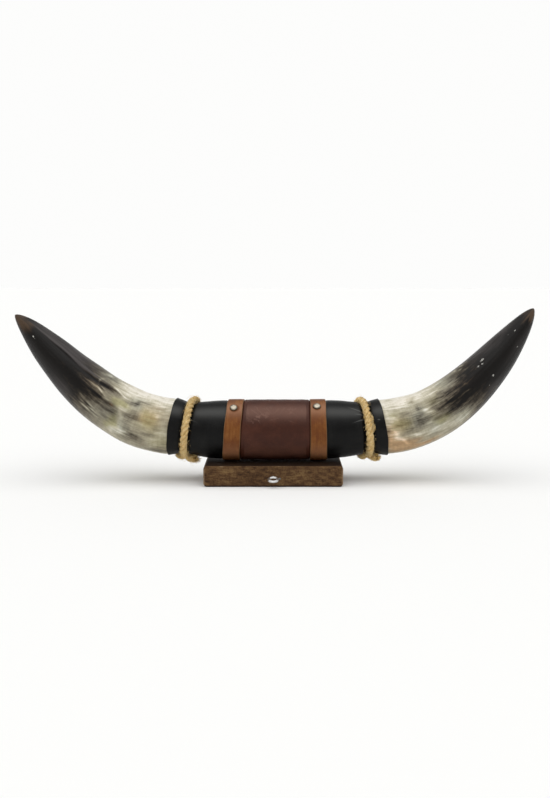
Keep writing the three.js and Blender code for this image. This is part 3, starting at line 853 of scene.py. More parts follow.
def make_sleeve(sleeve):
    """The sleeve's wall with shallow waves, puckers that run out of the rope's groove, pale
    creases, a lapped seam behind, and a slightly uneven cuff. Its stored marks also hold a
    painted highlight along the upper front."""
    stations = sleeve["outside"]
    start, end = stations[0][0], stations[-1][0]

    def outside(at):
        return smooth_through(stations, at)

    at, radius, shown, cut = wall_section(start, end, outside, LEATHER_WALL, LEATHER_ROUNDING, 170)
    angle = one_turn(LEATHER_COLUMNS)
    from_groove = at - sleeve["groove"]
    waves = 0.16 * ripples(angle, at, (1, 4), (18, 60), 8, sleeve["seed"])
    folds = ripples(angle, at * 0, (17, 30), (50, 60), 7, sleeve["seed"] + 1)
    lean_folds = ripples(angle, at, (11, 22), (24, 70), 7, sleeve["seed"] + 2)
    gathered = bump_at(from_groove, 0, 6.5)
    relief = waves + 0.55 * gathered * folds + 0.22 * bump_at(from_groove, 0, 13) * lean_folds
    creases = lines_on(angle, at, sleeve["creases"], 32)
    relief = relief - 0.35 * creases
    relief = relief + overlap_step(angle, sleeve["seam"], 0.55, 34)
    free = np.clip((at - stations[2][0]) / 3, 0, 1)
    uneven = 0.35 * ripples(angle, at * 0, (2, 9), (50, 60), 8, sleeve["seed"] + 3)
    moved = at + uneven * np.clip((at - end + 14) / 14, 0, 1)
    # Painted highlight: a pale band along the upper front, kept out of the rope's groove.
    painted_light_bands = 0.62 * bump_at(turn_from(angle, 46), 0, 17) * (1 - gathered)
    marks = spots(at, angle, sleeve["specks"]) + 1.6 * creases + painted_light_bands
    fields = {"marks_and_painted_light": marks * shown, "scuff": 0 * at, "cut": cut}
    name = sleeve["name"] + "_sleeve"
    piece = add_leather(
        name + "_leather",
        angle,
        sleeve["side"] * moved,
        radius + relief * free * shown,
        fields,
        black_leather,
        flip=sleeve["side"] < 0,
    )
    place_piece(piece, name)


for sleeve in SLEEVES:
    make_sleeve(sleeve)


# ---------------------------------------------------------------------------
# Centre wrap: thicker oiled brown leather round the middle of the core, glued,
# a little barrel-shaped, veined and creased, with a tooled line by each strap.
# ---------------------------------------------------------------------------

WRAP_OUTSIDE = [(-51.85, 34.7), (-37.0, 34.7), (-35.25, 35.9), (3.3, 36.2), (41.85, 35.9),
                (43.6, 34.7), (57.85, 34.7)]
WRAP_SEAM = 205
TOOLED_LINES = (-32.6, 39.3)
WRAP_CREASES = [
    (-25, 43, 12, 16, 0.9), (-19, 40, 9, 18, 1.0), (-14, 52, -9, 12, 0.8), (-8, 38, 7, 15, 0.7),
    (-22, 62, 10, 5, 0.6), (6, 40, -7, 13, 0.6), (13, 37, -6, 17, 0.8), (19, 45, 8, 10, 0.5),
    (26, 39, -9, 14, 0.7), (-3, 64, 12, -5, 0.4), (20, 66, 9, 6, 0.4), (-28, 100, 14, 8, 0.3),
]


def make_wrap():
    """The barrel's wall: shallow waves, slanting creases, and a shallow line pressed 3 mm in
    from each strap. Its stored marks also hold a painted highlight along the upper front and
    painted bounce light low on the front."""

    ends = WRAP_OUTSIDE[0][0], WRAP_OUTSIDE[-1][0]

    def outside(at):
        return smooth_through(WRAP_OUTSIDE, at)

    at, radius, shown, cut = wall_section(*ends, outside, LEATHER_WALL, LEATHER_ROUNDING, 230)
    angle = one_turn(LEATHER_COLUMNS)
    waves = 0.13 * ripples(angle, at, (1, 5), (16, 70), 9, 61)
    fine = 0.035 * ripples(angle, at, (8, 26), (6, 25), 12, 62)
    open_part = np.clip((at + 36) / 4, 0, 1) * np.clip((42.6 - at) / 4, 0, 1)
    tooled = sum(bump_at(at, line, 0.55) for line in TOOLED_LINES)
    creases = lines_on(angle, at, WRAP_CREASES, 36) * open_part
    relief = (waves + fine) * open_part - 0.16 * tooled - 0.22 * creases
    relief = relief + open_part * overlap_step(angle, WRAP_SEAM, 0.6, 36)
    upper_front = bump_at(turn_from(angle, 52), 0, 34)
    patches = [(-16, 50, 13, 22, 1.0), (-20, 66, 8, 14, 0.8), (16, 48, 13, 16, 0.8),
               (28, 60, 9, 18, 0.7), (2, 70, 12, 10, 0.35), (0, 250, 24, 50, 0.6)]
    # Scuffs for the pale veins, stronger on the upper front, where the painted highlight lies.
    scuff = spots(at, angle, patches) * (0.4 + 0.6 * upper_front)
    # Painted highlight along the upper front and painted bounce light low on the front, with the pale
    # creases.
    wear_and_painted_light = 0.8 * bump_at(turn_from(angle, 45), 0, 21) + 0.75 * creases
    wear_and_painted_light = (wear_and_painted_light + 0.45 * bump_at(turn_from(angle, 132), 0, 25)) * open_part
    fields = {"marks_and_painted_light": (wear_and_painted_light - 0.25 * tooled) * shown, "scuff": scuff * shown, "cut": cut}
    material = leather_material(
        "brown_leather",
        [(0.047, 0.0135, 0.0072), (0.060, 0.0175, 0.0090), (0.080, 0.0270, 0.0155)],
        grain=900,
        gloss=0.32,
        shine=0.17,
        pale=(0.20, 0.105, 0.078),
        stretch=0.16,
        veins=0.35,
        edge=(0.16, 0.09, 0.05),
    )
    piece = add_leather("centre_wrap_leather", angle, at, radius + relief * shown, fields, material)
    place_piece(piece, "centre_wrap")


make_wrap()


# ---------------------------------------------------------------------------
# Straps: two bands of tan strap leather, 19.5 mm wide, pulled tight over the
# joints between black and brown, glued and held by one dome nail each.
# ---------------------------------------------------------------------------

STRAP_OUTSIDE = 36.5
STRAP_WALL = 1.5
STRAP_WIDTH = 19.5
STRAP_ROUNDING = 0.55
STRAPS = [
    {"name": "left", "middle": -46.9, "nail": -46.6, "elevation": 52, "seam": 210, "seed": 71},
    {"name": "right", "middle": 53.5, "nail": 51.4, "elevation": 56, "seam": 205, "seed": 83},
]

tan_leather = leather_material(
    "tan_leather",
    [(0.135, 0.039, 0.0065), (0.190, 0.065, 0.0115), (0.260, 0.110, 0.030)],
    grain=1150,
    gloss=0.36,
    shine=0.2,
    pale=(0.40, 0.205, 0.115),
    stretch=0.5,
    veins=0.2,
    edge=(0.19, 0.115, 0.055),
)


def make_strap(strap):
    """The strap's wall: lengthwise stretch waves, soft edges, a dimple under the nail and its
    end lapped over behind. Its stored marks hold a painted highlight on top and painted bounce
    light low on the front, left out in a ring round the nail head."""
    start = strap["middle"] - STRAP_WIDTH / 2
    end = strap["middle"] + STRAP_WIDTH / 2

    def outside(at):
        across = (np.asarray(at, float) - strap["middle"]) / (STRAP_WIDTH / 2)
        return STRAP_OUTSIDE + 0.12 - 0.22 * np.abs(across) ** 4

    at, radius, shown, cut = wall_section(start, end, outside, STRAP_WALL, STRAP_ROUNDING, 60)
    angle = one_turn(LEATHER_COLUMNS)
    stretched = 0.05 * ripples(angle, at, (0, 2), (2.5, 9), 9, strap["seed"])
    waves = 0.10 * ripples(angle, at, (2, 6), (15, 60), 7, strap["seed"] + 1)
    nail_angle = np.radians(90 - strap["elevation"])
    arc = np.degrees(angle - nail_angle + np.pi) % 360 - 180
    from_nail = np.hypot(np.radians(arc) * STRAP_OUTSIDE, at - strap["nail"])
    dimple = 0.32 * bump_at(from_nail, 0, 5.2)
    relief = stretched + waves - dimple
    relief = relief + overlap_step(angle, strap["seam"], 0.7, STRAP_OUTSIDE)
    uneven = 0.22 * ripples(angle, at * 0, (1, 7), (50, 60), 8, strap["seed"] + 2)
    # Scuffs for the pale veins, on top and low on the front, where the painted light lies.
    wear_and_painted_light = spots(at, angle, [(strap["middle"], 30, 9, 22, 0.6), (strap["middle"] - 3, 120, 4, 20, 0.4)])
    # Painted highlight on top and painted bounce light low on the front, left out in a ring round the
    # nail head.
    painted_light_bands = 0.75 * bump_at(turn_from(angle, 38), 0, 22) - 0.5 * bump_at(from_nail, 4.6, 1.2)
    painted_light_bands = painted_light_bands + 0.6 * bump_at(turn_from(angle, 132), 0, 25)
    fields = {"marks_and_painted_light": painted_light_bands * shown, "scuff": wear_and_painted_light * shown, "cut": cut}
    name = strap["name"] + "_strap"
    moved = at + uneven
    piece = add_leather(
        name + "_leather", angle, moved, radius + relief * shown, fields, tan_leather
    )
    place_piece(piece, name)


for strap in STRAPS:
    make_strap(strap)


# ---------------------------------------------------------------------------
# Nails: one nickelled dome-headed upholstery nail through each strap, the wrap
# and into the core.
# ---------------------------------------------------------------------------

NAIL_SEAT = STRAP_OUTSIDE + 0.2
NAIL_SECTION = [(0, -16), (0.55, -14.6), (1.1, -13), (1.1, -0.2), (4.0, -0.1), (4.5, 0.1),
                (4.6, 0.45), (4.42, 1.0), (3.9, 1.62), (3.1, 2.14), (2.1, 2.46), (1.05, 2.58),
                (0, 2.6)]
NAIL_COLUMNS = 64


def turned(section, columns, steps=6):
    """A turned skin from (radius, height) pairs joined by straight runs of so many steps: each
    ring of radius r and height h is (r cos a, r sin a, h)."""
    radius, height = np.array(section, float).T
    t = np.linspace(0, len(section) - 1, (len(section) - 1) * steps + 1)
    radius = np.interp(t, np.arange(len(section)), radius)[:, None]
    height = np.interp(t, np.arange(len(section)), height)[:, None]
    return bar_place(radius, one_turn(columns), height)[::-1]


def metal_material(name, tone, tarnished, gloss, relief):
    """Plated metal: bright where rubbing has polished it, duller and darker in cloudy tarnished
    patches, and darker still where a stored value lays painted shade and some tarnishing in low places.
    """
    material, tree, inputs = new_material(name)
    place = node(tree, "TexCoord").outputs["Object"]
    cloud = noise(tree, place, (1, 1, 1), 420, 4.0, 0.6)
    scratch = noise(tree, place, (1, 1, 0.12), 2600, 3.0, 0.6)
    tarnish_and_painted_shade = sums(tree, field(tree, "recess_shade_and_tarnish"), (cloud, 0.7), (scratch, 0.2))
    colour = blend(tree, rise(tree, tarnish_and_painted_shade, 0.5, 1.15), tone, tarnished)
    inputs["Metallic"].default_value = 1.0
    dull = sums(tree, gloss, (tarnish_and_painted_shade, 0.22))
    height = sums(tree, 0.0, (cloud, 1.0), (scratch, 0.25))
    dress(tree, inputs, colour, dull, 0.5, height, relief, 0.6)
    return material


nickel = metal_material("nickel", (0.52, 0.475, 0.385), (0.10, 0.078, 0.052), 0.2, 0.0003)


def make_nail(strap):
    """The nail's turned skin, stood on the strap and pointing straight out from its axis."""
    lift = np.radians(strap["elevation"])
    out = np.array([0, -np.cos(lift), np.sin(lift)])
    beside = np.cross(out, [1, 0, 0])
    rings = turned(NAIL_SECTION, NAIL_COLUMNS)
    height = rings[..., 2]
    dent = 0.12 * np.sin(rings[..., 0] * 0.9 + 0.6) * np.cos(rings[..., 1] * 1.1)
    height = height - dent * (height > 0.8)
    seat = [strap["nail"], 0, AXIS_HEIGHT] + NAIL_SEAT * out
    places = seat + rings[..., :1] * [1, 0, 0] - rings[..., 1:2] * beside + height[..., None] * out
    # Painted shade: the dome is darker on its lower side and towards its rim, where it meets the strap;
    # the rim also holds some tarnishing.
    painted_low_side_shade = np.clip(0.5 - rings[..., 1] / 6, 0, 1)
    recess_shade_and_tarnish = 1.15 - np.clip(height / 1.9, 0, 1) + 0.25 * painted_low_side_shade
    piece = add_rings(strap["name"] + "_nail_dome", places, {"recess_shade_and_tarnish": recess_shade_and_tarnish}, nickel)
    place_piece(piece, strap["name"] + "_nail")


for strap in STRAPS:
    make_nail(strap)


# ---------------------------------------------------------------------------
# Ropes: 8 mm three-strand sisal, one hitched round each sleeve so that it pulls
# the leather into the horn's neck. The tail crosses under and is cut off.
# ---------------------------------------------------------------------------

ROPE_DIAMETER = 8
ROPE_DEGREES = np.linspace(-160, 199, 2000)
ROPE_ROWS = 460
BESIDE_GROOVE = 31.3
TAIL_PRESS = 0.9
STRAND_PITCH = 21
STRAND_OFFSET = 2.05
STRAND_RADIUS = 2.15
STRAND_COLUMNS = 24
YARNS = 7
YARN_PITCH = 13
HAIR_STEPS = np.linspace(0, 1, 7)[None, :]
LOOP_HAIRS = 34
BRUSH_HAIRS = 210
ROPES = [
    {"name": "left", "at": -101, "groove": 28.6, "hook": 4, "drift": 10, "reach": 14, "seed": 97,
     "loops": [], "frayed": 1.0},
    {"name": "right", "at": 110.2, "groove": 27.4, "hook": -3, "drift": 7, "reach": 9, "seed": 101,
     "loops": [(-62, 1.0), (-70, 0.8), (-79, 1.2), (-86, 0.7)], "frayed": 0.35},
]


def rope_route(rope, angle):
    """The rope's middle at so many degrees past the top. It lies in the groove, hooks towards
    the middle over the top, drifts left down the back and crosses under to the right."""
    hooked = eased(angle, -15, 30) - eased(angle, 50, 125)
    crossed = eased(angle, 158, 202)
    shift = (rope["drift"] + rope["reach"]) * crossed - rope["drift"] * eased(angle, 0, 150)
    shift = shift + rope["hook"] * hooked
    off = np.abs(shift)
    reach = rope["groove"] + 0.5 + ROPE_DIAMETER / 2
    reach = reach + eased(off, 0, 7) * (BESIDE_GROOVE - rope["groove"]) + 0.1 * off
    reach = reach - TAIL_PRESS * eased(angle, 160, 182)
    turn = np.radians(angle)
    return on_line(-reach * np.sin(turn), rope["at"] + shift, reach * np.cos(turn))


def rope_frame(rope):
    """Evenly spaced points along the rope with its direction, its outward normal, the third
    direction that makes them square, and how far its loosening end has swollen."""
    rough = rope_route(rope, ROPE_DEGREES)
    travelled = length_along(rough)
    distance = np.linspace(0, travelled[-1], ROPE_ROWS)
    middle = read_at(distance, travelled, rough)
    along = unit(np.gradient(middle, distance, axis=0))
    outward = square_to(middle - middle.mean(0), along)
    swell = 1 + 0.16 * eased(np.interp(distance, travelled, ROPE_DEGREES), 145, 178)
    return distance, middle, along, outward, np.cross(along, outward), swell


def in_rope(rope_lines, distance, turn, radius):
    """A place in the rope from its distance along, its angle round the rope and its radius."""
    at, middle, _, outward, beside, swell = rope_lines
    there = [read_at(distance, at, rows) for rows in (middle, outward, beside)]
    return round_about(*there, radius * np.interp(distance, at, swell), turn)


def strand_envelope(distance, turn):
    """The rope's radius at an angle round it: the outside of the nearest strand's circle."""
    off = turn - 2 * np.pi * distance / STRAND_PITCH
    third = 2 * np.pi / 3
    off = (off + third / 2) % third - third / 2
    side = STRAND_OFFSET * np.sin(off)
    return STRAND_OFFSET * np.cos(off) + np.sqrt(np.maximum(STRAND_RADIUS**2 - side**2, 0.2))


def strand_rings(rope_lines, number, seed):
    """One strand: a tube carried on a right-handed helix, ridged by its seven yarns, which are
    twisted the other way, and swollen and thinned a little along its length. Gives its rings,
    how much painted shade each point gets for lying deep in the rope, and its place on the strand
    laid out straight."""
    distance, swell = rope_lines[0], rope_lines[5]
    turn = 2 * np.pi * (distance / STRAND_PITCH + number / 3)
    line = in_rope(rope_lines, distance, turn, np.full(ROPE_ROWS, STRAND_OFFSET))
    inner = in_rope(rope_lines, distance, turn, np.zeros(ROPE_ROWS))
    along = unit(np.gradient(line, distance, axis=0))
    outward = square_to(line - inner, along)
    beside = np.cross(along, outward)
    angle = one_turn(STRAND_COLUMNS)
    down = distance[:, None]
    yarns = 1 - np.abs(np.sin(YARNS / 2 * (angle - 2 * np.pi * down / YARN_PITCH)))
    lumps = 0.05 * ripples(angle, down, (0, 3), (3, 12), 8, seed)
    lumps = lumps + 0.08 * ripples(angle, down, (2, 6), (1.8, 5), 10, seed + 7)
    close = np.minimum(down, distance[-1] - down)
    radius = STRAND_RADIUS * (1 - 0.13 * yarns + lumps) * (1 - 0.45 * bump_at(close, 0, 0.7))
    radius = radius * swell[:, None]
    rings = round_about(line[:, None], outward[:, None], beside[:, None], radius, angle)
    # Painted shade: darker on the strand's inner side and down between its yarns.
    deep = np.clip(-np.cos(angle) * 0.5 + 0.35, 0, 1) + 0.55 * yarns
    return rings, deep, bar_place(radius, angle, down + 40 * number)


def hair_mesh(paths, thickness):
    """Thin three-sided tubes along many paths at once, closed at both ends.
    paths is [hair, step, xyz]; thickness is one radius for each hair."""
    hairs, steps = paths.shape[:2]
    along = unit(np.gradient(paths, axis=1))
    across = unit(np.cross(along, [0.31, 0.72, 0.62]))
    beside = np.cross(along, across)
    radius = thickness[:, None, None] * (1 - 0.6 * HAIR_STEPS[..., None] ** 2)
    places = [lines[:, :, None] for lines in (paths, across, beside)]
    points = round_about(*places, radius, one_turn(3))
    first = 3 * steps * np.arange(hairs)[:, None, None]
    quads = first + grid_faces(steps, 3, False)
    near = first[:, 0] + [2, 1, 0]
    far = first[:, 0] + 3 * (steps - 1) + [0, 1, 2]
    return points.reshape(-1, 3), quads.reshape(-1, 4), np.concatenate([near, far])


def rope_hairs(rope, rope_lines):
    """Fibres of five kinds: some lying along the strands, a short fuzz, stray ones standing off,
    loose loops where the rope is chafed, and a brush at the cut end. The first three start on the
    strands' outside, turn with them and rise by a power of the distance along. Gives the paths,
    and each fibre's width and tone."""
    draw = np.random.default_rng(rope["seed"])
    length = rope_lines[0][-1]
    steps = HAIR_STEPS

    def fibres(count, run, wander, lift, power):
        start = draw.uniform(1, length - 1, count)[:, None]
        turn = draw.uniform(0, 2 * np.pi, count)[:, None]
        run = draw.uniform(*run, count)[:, None] * draw.choice([-1, 1], count)[:, None]
        distance = np.clip(start + run * steps, 0.3, length - 0.3)
        wandering = draw.uniform(-wander, wander, count)[:, None] * steps
        turn = turn + 2 * np.pi * (distance - start) / STRAND_PITCH + wandering
        height = draw.uniform(*lift, count)[:, None] * steps**power
        radius = strand_envelope(distance, turn) + height
        return in_rope(rope_lines, distance, turn, radius)

    lying = fibres(1650, (3, 9), 0.9, (-0.1, 0.5), 1)
    fuzz = fibres(680, (1.5, 5), 1.8, (0.5, 1.9), 2)
    stray = fibres(140, (3, 9), 1.9, (1.8, 5.2), 2)
    bunches = [lying, fuzz, stray]
    widths = [draw.uniform(0.14, 0.30, len(lying)), draw.uniform(0.09, 0.17, len(fuzz)),
              draw.uniform(0.12, 0.21, len(stray))]

    travelled = length_along(rope_route(rope, ROPE_DEGREES))
    for degrees, size in rope["loops"]:
        at = np.interp(degrees, ROPE_DEGREES, travelled)
        start = at + draw.normal(0, 1.6, LOOP_HAIRS)[:, None]
        run = draw.uniform(4, 8, LOOP_HAIRS)[:, None] * size
        turn = draw.normal(np.pi / 2, 0.35, LOOP_HAIRS)[:, None]
        turn = turn + draw.uniform(-0.5, 0.5, LOOP_HAIRS)[:, None] * steps
        height = draw.uniform(0.3, 3.4, LOOP_HAIRS)[:, None] * size * np.sin(np.pi * steps)
        bunches.append(in_rope(rope_lines, start + run * (steps - 0.5), turn, 3.4 + height))
        widths.append(draw.uniform(0.12, 0.24, LOOP_HAIRS))

    spread = draw.uniform(0, 2 * np.pi, BRUSH_HAIRS)[:, None] + 0 * steps
    inner = 3.9 * np.sqrt(draw.uniform(0, 1, BRUSH_HAIRS))[:, None]
    out = draw.uniform(0.6, 4.6, BRUSH_HAIRS)[:, None] * rope["frayed"]
    inner = inner * (1 + (0.15 + 0.5 * rope["frayed"]) * steps**1.5)
    end = in_rope(rope_lines, length - 1.5 + 0 * inner, spread, inner)
    ahead = rope_lines[2][-1]
    bunches.append(end + ahead * ((1.5 + out) * steps)[..., None])
    widths.append(draw.uniform(0.1, 0.19, BRUSH_HAIRS))
    tones = [draw.uniform(0, 1, len(bunch)) for bunch in bunches]
    return np.concatenate(bunches), np.concatenate(widths), np.concatenate(tones)


def sisal_material():
    """Sisal: straw-coloured fibres, each of its own tone, with painted shade on each strand's inner
    side and down between the yarns.
    """
    material, tree, inputs = new_material("sisal")
    place = field(tree, "lay", "Vector")
    fibre = noise(tree, place, (1, 1, 0.2), 2.4, 4.0, 0.7)
    fleck = noise(tree, place, (1, 1, 0.4), 0.75, 3.0, 0.6)
    patch = noise(tree, place, (0.5, 0.5, 1), 0.22, 3.0)
    grain = sums(tree, -1.3, (fibre, 1.3), (fleck, 3.0), (patch, 0.7))
    # The stored depth lays painted shade into the fibres' colour.
    tone = sums(tree, grain, (field(tree, "tone"), 1.0), (field(tree, "deep"), -0.8))
    colour = blend(tree, rise(tree, tone, 0.45, 1.30), (0.24, 0.135, 0.036), (0.72, 0.485, 0.180))
    colour = blend(tree, rise(tree, tone, 1.20, 1.9, 0.9), colour, (0.92, 0.745, 0.42))
    dress(tree, inputs, colour, sums(tree, 0.6, (fibre, 0.35)), 0.3, fibre, 0.0006, 0.8)
    return material


sisal = sisal_material()


def make_rope(rope):
    """Three strands and their fibres, put together as one mesh."""
    lines = rope_frame(rope)
    skins, deep, lay, tone = [], [], [], []
    for number in range(3):
        rings, strand_deep, strand_lay = strand_rings(lines, number, rope["seed"] + number)
        skins.append(skin(rings))
        deep += [strand_deep.ravel(), [0.2, 0.2]]
        lay += [strand_lay.reshape(-1, 3), strand_lay[0, :1], strand_lay[-1, :1]]
        tone.append(np.full(len(skins[-1][0]), 0.3 + 0.06 * number))
    paths, widths, shades = rope_hairs(rope, lines)
    skins.append(hair_mesh(paths, widths))
    hair_points = skins[-1][0]
    deep.append(np.zeros(len(hair_points)))
    lay.append(hair_points)
    tone.append(np.repeat(shades, 3 * paths.shape[1]) * 0.9)
    fields = {"deep": deep, "lay": lay, "tone": tone}
    fields = {key: np.concatenate(values) for key, values in fields.items()}
    name = rope["name"] + "_rope"
    piece = add_mesh(name + "_sisal", *joined(skins), fields, sisal)
    place_piece(piece, name)


for rope in ROPES:
    make_rope(rope)


# ---------------------------------------------------------------------------
# Base block: a 25 mm board of stained wood, 163.5 by 84 mm, its ends rounded over
# and its long edges only broken. Two screws come up through it into the core.
# ---------------------------------------------------------------------------

BLOCK_LENGTH = 163.5
BLOCK_DEPTH = 84
BLOCK_HEIGHT = 25
BLOCK_CORNER = 4.5
BLOCK_EDGE = 1.0
BLOCK_COLUMNS = 520
BASE_SCREWS_AT = (-28, 28)
BASE_SCREW_HOLE = [(0, -1), (4.5, -1), (4.5, 1.6), (2.4, 3.7), (2.4, 26), (0, 26)]


def board_outline(inset):
    """The board's front outline drawn in by inset: straight sides joined by quarter circles,
    with points spread evenly by arc length."""
    corner = BLOCK_CORNER - inset
    half_x = BLOCK_LENGTH / 2 - inset - corner
    half_z = BLOCK_HEIGHT / 2 - inset - corner
    quarter = np.linspace(0, np.pi / 2, 24)
    corners = [(half_x, half_z, 0), (-half_x, half_z, 1), (-half_x, -half_z, 2), (half_x, -half_z, 3)]
    outline = np.concatenate([
        np.stack([
            x + corner * np.cos(quarter + turn * np.pi / 2),
            z + corner * np.sin(quarter + turn * np.pi / 2),
        ], 1)
        for x, z, turn in corners
    ])
    outline = np.concatenate([outline, outline[:1]])
    run = length_along(outline)
    return read_at(np.linspace(0, run[-1], BLOCK_COLUMNS, endpoint=False), run, outline)


def board_rings():
    """Rings of the outline from the middle of the back, over its broken edge, forward along the
    sides and in again across the front. Gives their x, y and z from the block's middle."""
    outline = board_outline(0)
    inward = board_outline(BLOCK_EDGE) - outline
    face = np.linspace(0.02, 1, 34)
    bend = np.linspace(0, np.pi / 2, 7)[1:-1]
    run = np.linspace(BLOCK_DEPTH / 2 - BLOCK_EDGE, BLOCK_EDGE - BLOCK_DEPTH / 2, 90)
    back = BLOCK_DEPTH / 2
    depths = [np.full(34, back), back - BLOCK_EDGE * (1 - np.cos(bend)), run]
    inset = [np.ones(34), 1 - np.sin(bend), np.zeros(90)]
    scale = [face, np.ones(5), np.ones(90)]
    depth = np.concatenate([*depths, -depths[1][::-1], -depths[0]])
    inset = np.concatenate([*inset, inset[1][::-1], inset[0]])[:, None, None]
    scale = np.concatenate([*scale, scale[1], face[::-1]])[:, None, None]
    flat = (outline[None] + inward[None] * inset) * scale
    deep = np.broadcast_to(depth[:, None], flat.shape[:2])
    return flat[..., 0], deep, flat[..., 1]


def stained_material():
    """Dark stained board: coarse fibres along its length, saw marks across, small pores, and a
    paler rub where the stain has come off the edges. A stored value makes it near black along the
    bottom edge, as painted shade where it meets the floor, and on top, partly stain and partly
    painted shade under the core."""
    material, tree, inputs = new_material("stained_wood")
    place = node(tree, "TexCoord").outputs["Object"]
    fibre = wood_streaks(tree, place, 0.12, 900)
    mottle = noise(tree, place, (0.55, 1, 1), 240, 6.0, 0.7)
    fine = noise(tree, place, (0.4, 1, 1), 1500, 4.0, 0.7)
    patch = noise(tree, place, (0.6, 1, 1), 45, 3.0)
    saw = noise(tree, place, (1, 0.2, 0.06), 1300, 2.0)
    tone = sums(tree, -0.34, (mottle, 0.9), (fibre, 0.5), (fine, 0.75), (patch, 0.55), (saw, 0.2))
    colour = blend(tree, rise(tree, tone, 0.80, 1.14), (0.022, 0.009, 0.004), (0.092, 0.046, 0.019))
    colour = blend(tree, rise(tree, tone, 1.06, 1.40, 0.9), colour, (0.215, 0.130, 0.055))
    rub = sums(tree, field(tree, "wear_and_painted_light"), (fine, 0.7), (fibre, 0.4), (mottle, 0.3))
    colour = blend(tree, rise(tree, rub, 1.15, 1.75, 0.7), colour, (0.27, 0.19, 0.12))
    # Near black along the bottom edge as painted shade, and on top partly as stain and partly as
    # painted shade under the core.
    stain_and_painted_shade = sums(tree, field(tree, "stain_and_painted_shade"), (mottle, 0.3))
    colour = blend(tree, rise(tree, stain_and_painted_shade, 0.4, 1.0, 0.9), colour, (0.014, 0.006, 0.003))
    dull = sums(tree, 0.5, (mottle, 0.3), (fine, 0.15))
    height = sums(tree, 0.0, (mottle, 0.6), (fibre, 0.6), (fine, 0.5), (saw, 0.5))
    dress(tree, inputs, colour, dull, 0.14, height, 0.0005, 0.7)
    return material


def drill(piece, rings):
    """Cuts a closed turned skin out of a piece for good."""
    cutter = add_rings("drill", rings, {}, piece.data.materials[0])
    cut = piece.modifiers.new("hole", "BOOLEAN")
    cut.object = cutter
    cut.solver = "EXACT"
    view = bpy.context.evaluated_depsgraph_get()
    piece.data = bpy.data.meshes.new_from_object(piece.evaluated_get(view))
    piece.modifiers.clear()
    bpy.data.objects.remove(cutter)


def make_block():
    """The board's skin with shallow dents, softened edges and stain wearing thin, with painted shade
    along the bottom edge and a near-black top that is partly stain and partly painted shade.
    """
    x, y, z = board_rings()
    draw = np.random.default_rng(131)
    away_x = BLOCK_LENGTH / 2 - np.abs(x)
    away_y = BLOCK_DEPTH / 2 - np.abs(y)
    away_z = BLOCK_HEIGHT / 2 - np.abs(z)
    per_x, per_y, per_z = (draw.uniform(-most, most, 14) for most in (0.25, 0.5, 1.2))
    phases = draw.uniform(0, 6.3, 14)
    waves = 0.035 * sum(
        np.cos(a * x + b * y + c * z + phase) for a, b, c, phase in zip(per_x, per_y, per_z, phases)
    )
    on_face = np.clip((1.5 - away_y) / 1.5, 0, 1)
    y = y - np.sign(y) * on_face * (0.12 + waves * 0.8)
    on_top = np.clip((1.5 - away_z) / 1.5, 0, 1)
    z = z - np.sign(z) * on_top * (0.1 + waves * 0.6) * (np.abs(z) > 0)
    near = np.stack([away_x, away_y, away_z], -1)
    near.sort(axis=-1)
    wear_and_painted_light = bump_at(near[..., 0] + near[..., 1], 0.6, 1.6) - 0.45 * (z > 9)
    wear_and_painted_light = wear_and_painted_light + 0.9 * bump_at(x, -60.5, 2.2) * bump_at(z, 11.4, 0.5)
    # Painted shade along the bottom edge where it meets the floor; on top, stain and painted shade
    # under the core.
    stain_and_painted_shade = 1.7 * bump_at(z, -12.6, 1.9) + 1.0 * on_top * (z > 0) * (away_y > 0.3)
    points = np.stack([x, y, z + BLOCK_HEIGHT / 2], -1)
    piece = add_rings("base_block_board", points, {"wear_and_painted_light": wear_and_painted_light, "stain_and_painted_shade": stain_and_painted_shade}, stained_material())
    for across in BASE_SCREWS_AT:
        drill(piece, turned(BASE_SCREW_HOLE, 40, 2) + [across, 0, 0])
    place_piece(piece, "base_block")


make_block()


# ---------------------------------------------------------------------------
# Base screws: two zinc-plated countersunk wood screws, driven up from below so
# that the block holds the core. Their heads sit 1 mm inside the underside.
# ---------------------------------------------------------------------------

zinc_steel = metal_material("zinc_steel", (0.70, 0.70, 0.69), (0.16, 0.155, 0.145), 0.24, 0.0002)
# The base screws' zinc is darkened as painted shade, for the bits seen in the shaded gap between the
# block and the core.
painted_shade_zinc = metal_material("painted_shade_zinc", (0.16, 0.155, 0.145), (0.06, 0.055, 0.05), 0.45, 0.0002)
for side in ("left", "right"):
    finish_node(side + "_base_screw", painted_shade_zinc)


# ---------------------------------------------------------------------------
# Screw eye: a bent steel wire eye screwed into the block's front, for a hanging
# cord. It droops a little and the wire's cut end sticks out on the right.
# ---------------------------------------------------------------------------

EYE_RADIUS = 5.3
EYE_WIRE = 1.4
EYE_DROOP = np.radians(16)
EYE_PLACE = (0, -BLOCK_DEPTH / 2 - EYE_RADIUS - EYE_WIRE - 0.6, 10.2)
EYE_COLUMNS = 24
SHANK_LENGTH = 16
THREAD_PITCH = 1.6
STUB_LENGTH = 3.6


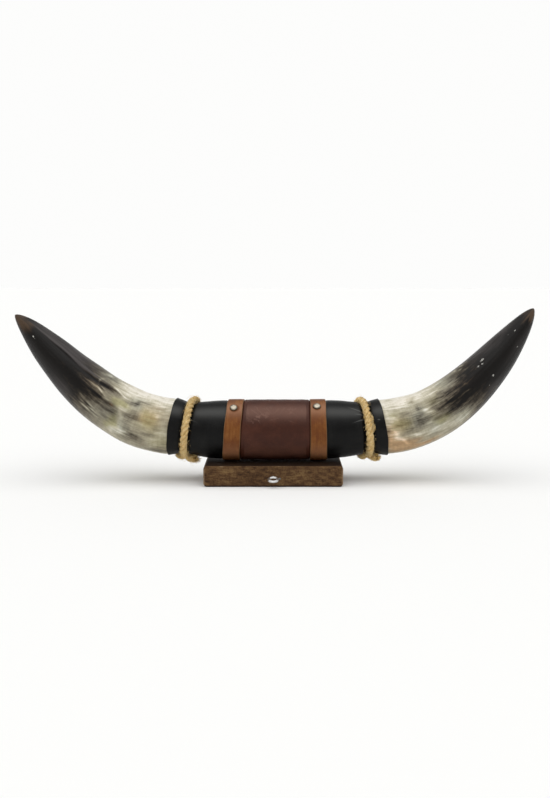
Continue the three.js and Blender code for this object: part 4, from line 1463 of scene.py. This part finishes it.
def wire_rings(path, radius):
    """A round wire of one radius for each point carried along a path that lies nearly flat."""
    along = unit(np.gradient(path, axis=0))
    across = unit(np.cross([0, 0, 1], along))
    lines = [line[:, None] for line in (path, across, np.cross(along, across))]
    return round_about(*lines, radius[:, None], one_turn(EYE_COLUMNS))


def droop(points):
    """Turns the eye forwards about its own middle and sets it in front of the block."""
    x, y, z = np.moveaxis(points, -1, 0)
    turned_y = y * np.cos(EYE_DROOP) - z * np.sin(EYE_DROOP)
    turned_z = y * np.sin(EYE_DROOP) + z * np.cos(EYE_DROOP)
    return np.stack([x, turned_y, turned_z], -1) + EYE_PLACE


def make_eye():
    """A ring of wire, its threaded shank running back into the wood, and its cut end."""
    turn = one_turn(96)[0, np.arange(-1, 97) % 96]
    ring_path = bar_place(EYE_RADIUS, turn, 0)
    ring = wire_rings(ring_path, EYE_WIRE * (1 + 0.03 * np.cos(3 * turn + 1)))[1:-1]
    run = np.linspace(0, 1, 160)
    shank_path = np.stack([0 * run, EYE_RADIUS + SHANK_LENGTH * run, 0 * run], 1)
    threads = 0.16 * np.abs(np.sin(np.pi * SHANK_LENGTH * run / THREAD_PITCH)) * (run > 0.2)
    shank = wire_rings(shank_path, (EYE_WIRE - threads) * np.sqrt(np.clip((1 - run) * 6, 0.003, 1)))
    share = np.linspace(0, 1, 24)
    stub_path = np.stack([EYE_RADIUS + STUB_LENGTH * share, 1.5 - 0.2 * share, 0.9 * share**2], 1)
    stub = wire_rings(stub_path, (EYE_WIRE - 0.15) * np.sqrt(np.clip((1 - share**8), 0.01, 1)))
    stub_skin = skin(stub)
    points, quads, triangles = joined([skin(ring, loop=True), skin(shank), stub_skin])
    points = droop(points)
    # Painted shade: the eye is darker towards the block, and its cut end is darker still.
    recess_shade_and_tarnish = 0.55 * np.clip((points[:, 1] + 46) / 4, 0, 1)
    recess_shade_and_tarnish[-len(stub_skin[0]):] = 0.75
    fields = {"recess_shade_and_tarnish": recess_shade_and_tarnish}
    piece = add_mesh("screw_eye_wire", points, quads, triangles, fields, zinc_steel)
    place_piece(piece, "screw_eye")


make_eye()
